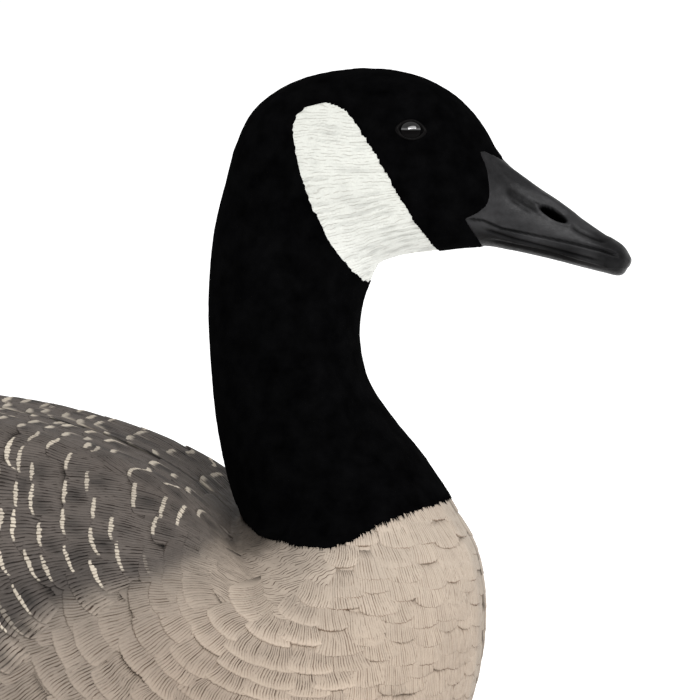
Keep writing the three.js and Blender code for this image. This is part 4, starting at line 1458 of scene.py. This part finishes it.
def make_tail_feathers():
    blades = []
    middle_feather = (TAIL_FEATHERS - 1) / 2
    for k in range(TAIL_FEATHERS):
        place = (k - middle_feather) / middle_feather
        turn = place * TAIL_TURN
        lower = 0.35 * TAIL_THICKNESS * abs(k - middle_feather)
        root = np.array((TAIL_TIP + TAIL_LENGTH, place * 0.17 * BODY_WIDTH / 2, TAIL_TOP - lower))
        direction = np.array((-math.cos(turn), math.sin(turn), -0.02))
        direction /= np.linalg.norm(direction)
        up = np.array((0, 0.1 * place, 1))

        def path(along):
            return root + direction * (along * TAIL_LENGTH)[:, None], np.broadcast_to(up, (len(along), 3))

        thick, tip = TAIL_THICKNESS, 0.7 * TAIL_WIDTH
        blades.append(feather_blade(path, TAIL_LENGTH, TAIL_WIDTH, thick, thick, tip, 1.2))
    blade_piece("tail_feathers", blades, TAIL_PAINT)


# The eyes

EYE_SPOT = (262.5, 292.3)
EYE_RADIUS = 5
EYE_BULGE = 1.9
LID_HALF = (4.9, 3.45)
LID_THICKNESS = 0.6
LID_STEPS = 128
LID_ROUND = 20


def eye_frame(side):
    """The eye's place on the form, its lengthwise, upward and outward directions, and the rise of
    the head round it as a quadratic of the distances along the first two."""
    t, angle = np.meshgrid(np.linspace(8, 12, 241), np.linspace(0.1, 2.5, 241), indexing="ij")
    points = form_point(t, angle)
    gap = np.hypot(points[..., 0] - EYE_SPOT[0], points[..., 2] - EYE_SPOT[1])
    best = np.unravel_index(gap.argmin(), gap.shape)
    spot = points[best]
    out = form_normal(t[best], angle[best])
    up = np.cross(out, (1, 0, 0))
    up = up / np.linalg.norm(up)
    along = np.cross(up, out)
    near = points[gap < 8] - spot
    x, y = near @ along, near @ up
    rise, *_ = np.linalg.lstsq(np.stack([x, y, x * x, x * y, y * y], axis=1), near @ out, rcond=None)
    return *(vector * MIRROR[side] for vector in (spot, along, up, out)), rise


def make_eye(side):
    spot, along, up, out, _ = eye_frame(side)
    centre = spot - out * (EYE_RADIUS - EYE_BULGE)
    polar = np.linspace(0.02, math.pi - 0.02, 40)
    turn = 2 * math.pi * np.arange(64) / 64
    polar, turn = np.meshgrid(polar, turn, indexing="ij")
    radial = np.cos(turn)[..., None] * along - np.sin(turn)[..., None] * up * side
    rings = centre + EYE_RADIUS * (np.cos(polar)[..., None] * out + np.sin(polar)[..., None] * radial)
    ball = new_piece("glossy_eye_" + SIDE_NAME[side], loft(rings), EYE)
    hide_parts(SIDE_NAME[side] + "_eye")


def make_lids(side):
    """A raised almond rim round the eye, with a corner ahead and behind."""
    spot, along, up, out, rise = eye_frame(side)
    turn = 2 * math.pi * np.arange(LID_STEPS) / LID_STEPS
    x = LID_HALF[0] * np.cos(turn)
    y = LID_HALF[1] * (0.5 * np.sin(turn) + 0.5 * np.sin(turn) * np.abs(np.sin(turn)))
    reach = np.hypot(x, y)
    head = np.stack([x, y, x * x, x * y, y * y], axis=1) @ rise
    ball = np.sqrt(np.maximum(0, EYE_RADIUS**2 - reach**2)) - EYE_RADIUS + EYE_BULGE
    lift = np.logaddexp(6 * head, 6 * ball) / 6 + 0.12
    middle = spot + x[:, None] * along + y[:, None] * up + lift[:, None] * out
    forward = np.roll(middle, -1, axis=0) - np.roll(middle, 1, axis=0)
    forward /= np.linalg.norm(forward, axis=1, keepdims=True)
    aside = np.cross(forward, out)
    aside /= np.linalg.norm(aside, axis=1, keepdims=True)
    above = np.cross(aside, forward)
    around = 2 * math.pi * np.arange(LID_ROUND) / LID_ROUND
    thick = LID_THICKNESS * (0.75 + 0.75 * np.abs(np.cos(turn)) ** 3)
    ring = aside[:, None] * np.cos(around)[None, :, None]
    ring = ring + above[:, None] * 0.9 * np.sin(around)[None, :, None]
    points = (middle[:, None] + thick[:, None, None] * ring).reshape(-1, 3)
    i, j = (index.ravel() for index in np.indices((LID_STEPS, LID_ROUND)))
    corners = [(i, j), (i, j + 1), (i + 1, j + 1), (i + 1, j)]
    if side == LEFT:
        corners.reverse()
    quads = np.stack([row % LID_STEPS * LID_ROUND + place % LID_ROUND for row, place in corners], axis=1)
    uv = face_uv(*((row / LID_STEPS, place / LID_ROUND) for row, place in corners))
    new_piece("eyelids_" + SIDE_NAME[side], (points, quads, NO_TRIANGLES, uv), LID)


# The camera, the light and the ground

def placed(data, target, angles, distance):
    """A new object that looks at a point in mm from a direction and a distance in mm."""
    azimuth, elevation = (math.radians(angle) for angle in angles)
    back = Vector((
        math.sin(azimuth) * math.cos(elevation),
        -math.cos(azimuth) * math.cos(elevation),
        math.sin(elevation),
    ))
    item = bpy.data.objects.new(data.name, data)
    bpy.context.collection.objects.link(item)
    item.location = (Vector(target) + distance * back) * MM
    item.rotation_euler = back.to_track_quat("Z", "Y").to_euler()
    return item


def make_camera():
    data = bpy.data.cameras.new("camera")
    data.lens = CAMERA_LENS
    data.sensor_width = CAMERA_SENSOR
    bpy.context.scene.camera = placed(data, CAMERA_TARGET, CAMERA_ANGLES, CAMERA_DISTANCE)


def make_key():
    """The soft key light, above and ahead of the bird's right side."""
    data = bpy.data.lights.new("key", "AREA")
    data.shape = "RECTANGLE"
    data.energy = KEY_POWER
    data.size, data.size_y = KEY_SIZE
    placed(data, KEY_TARGET, KEY_ANGLES, KEY_DISTANCE / MM)


def make_world():
    """A studio that is brightest round the horizon."""
    world = bpy.data.worlds.new("studio")
    world.use_nodes = True
    tree = world.node_tree
    ramp = tree.nodes.new("ShaderNodeValToRGB")
    ramp.color_ramp.interpolation = "EASE"
    first, second = ramp.color_ramp.elements
    first.position, second.position = HORIZON_BAND
    first.color = (1, 1, 1, 1)
    second.color = (SKY_LEVEL, SKY_LEVEL, SKY_LEVEL, 1)
    set_inputs(tree, ramp, {"Fac": height_of(tree, add_node(tree, "TexCoord", {}, "Generated"))})
    background = tree.nodes["Background"]
    set_inputs(tree, background, {"Color": ramp.outputs["Color"], "Strength": HORIZON_LEVEL})
    bpy.context.scene.world = world


def make_floor():
    """A pale floor that glows white all round the bird, as in a light tent."""
    bpy.ops.mesh.primitive_plane_add(size=80, location=(0, 0, -0.0005))
    floor = bpy.context.object
    floor.name = "floor"
    material, tree, shader = new_material("pale_floor")
    place = add_node(tree, "TexCoord", {}, "Object")
    distance = add_node(tree, "VectorMath", {0: place}, "Value", operation="LENGTH")
    set_inputs(tree, shader, {
        "Base Color": scaled(tree, (1, 1, 1), varied(tree, 3, 0.98 * FLOOR_PAINT, FLOOR_PAINT)),
        "Roughness": 0.9,
        "Specular IOR Level": 0,
        "Emission Color": (1, 1, 1, 1),
        "Emission Strength": map_range(tree, distance, FLOOR_FADE, (0, FLOOR_GLOW)),
    })
    floor.data.materials.append(material)


make_camera()
bpy.context.scene.view_settings.view_transform = "Standard"
make_world()
make_key()
make_floor()
make_bill()
make_skin()
make_flocking()
make_collar_tufts()
for coat_mesh in COAT_MESHES:
    make_coat(*coat_mesh)
make_flight_feathers()
make_tail_feathers()
for bird_side in (RIGHT, LEFT):
    make_cheek(bird_side)
    make_hollow(bird_side)
    make_eye(bird_side)
    make_lids(bird_side)
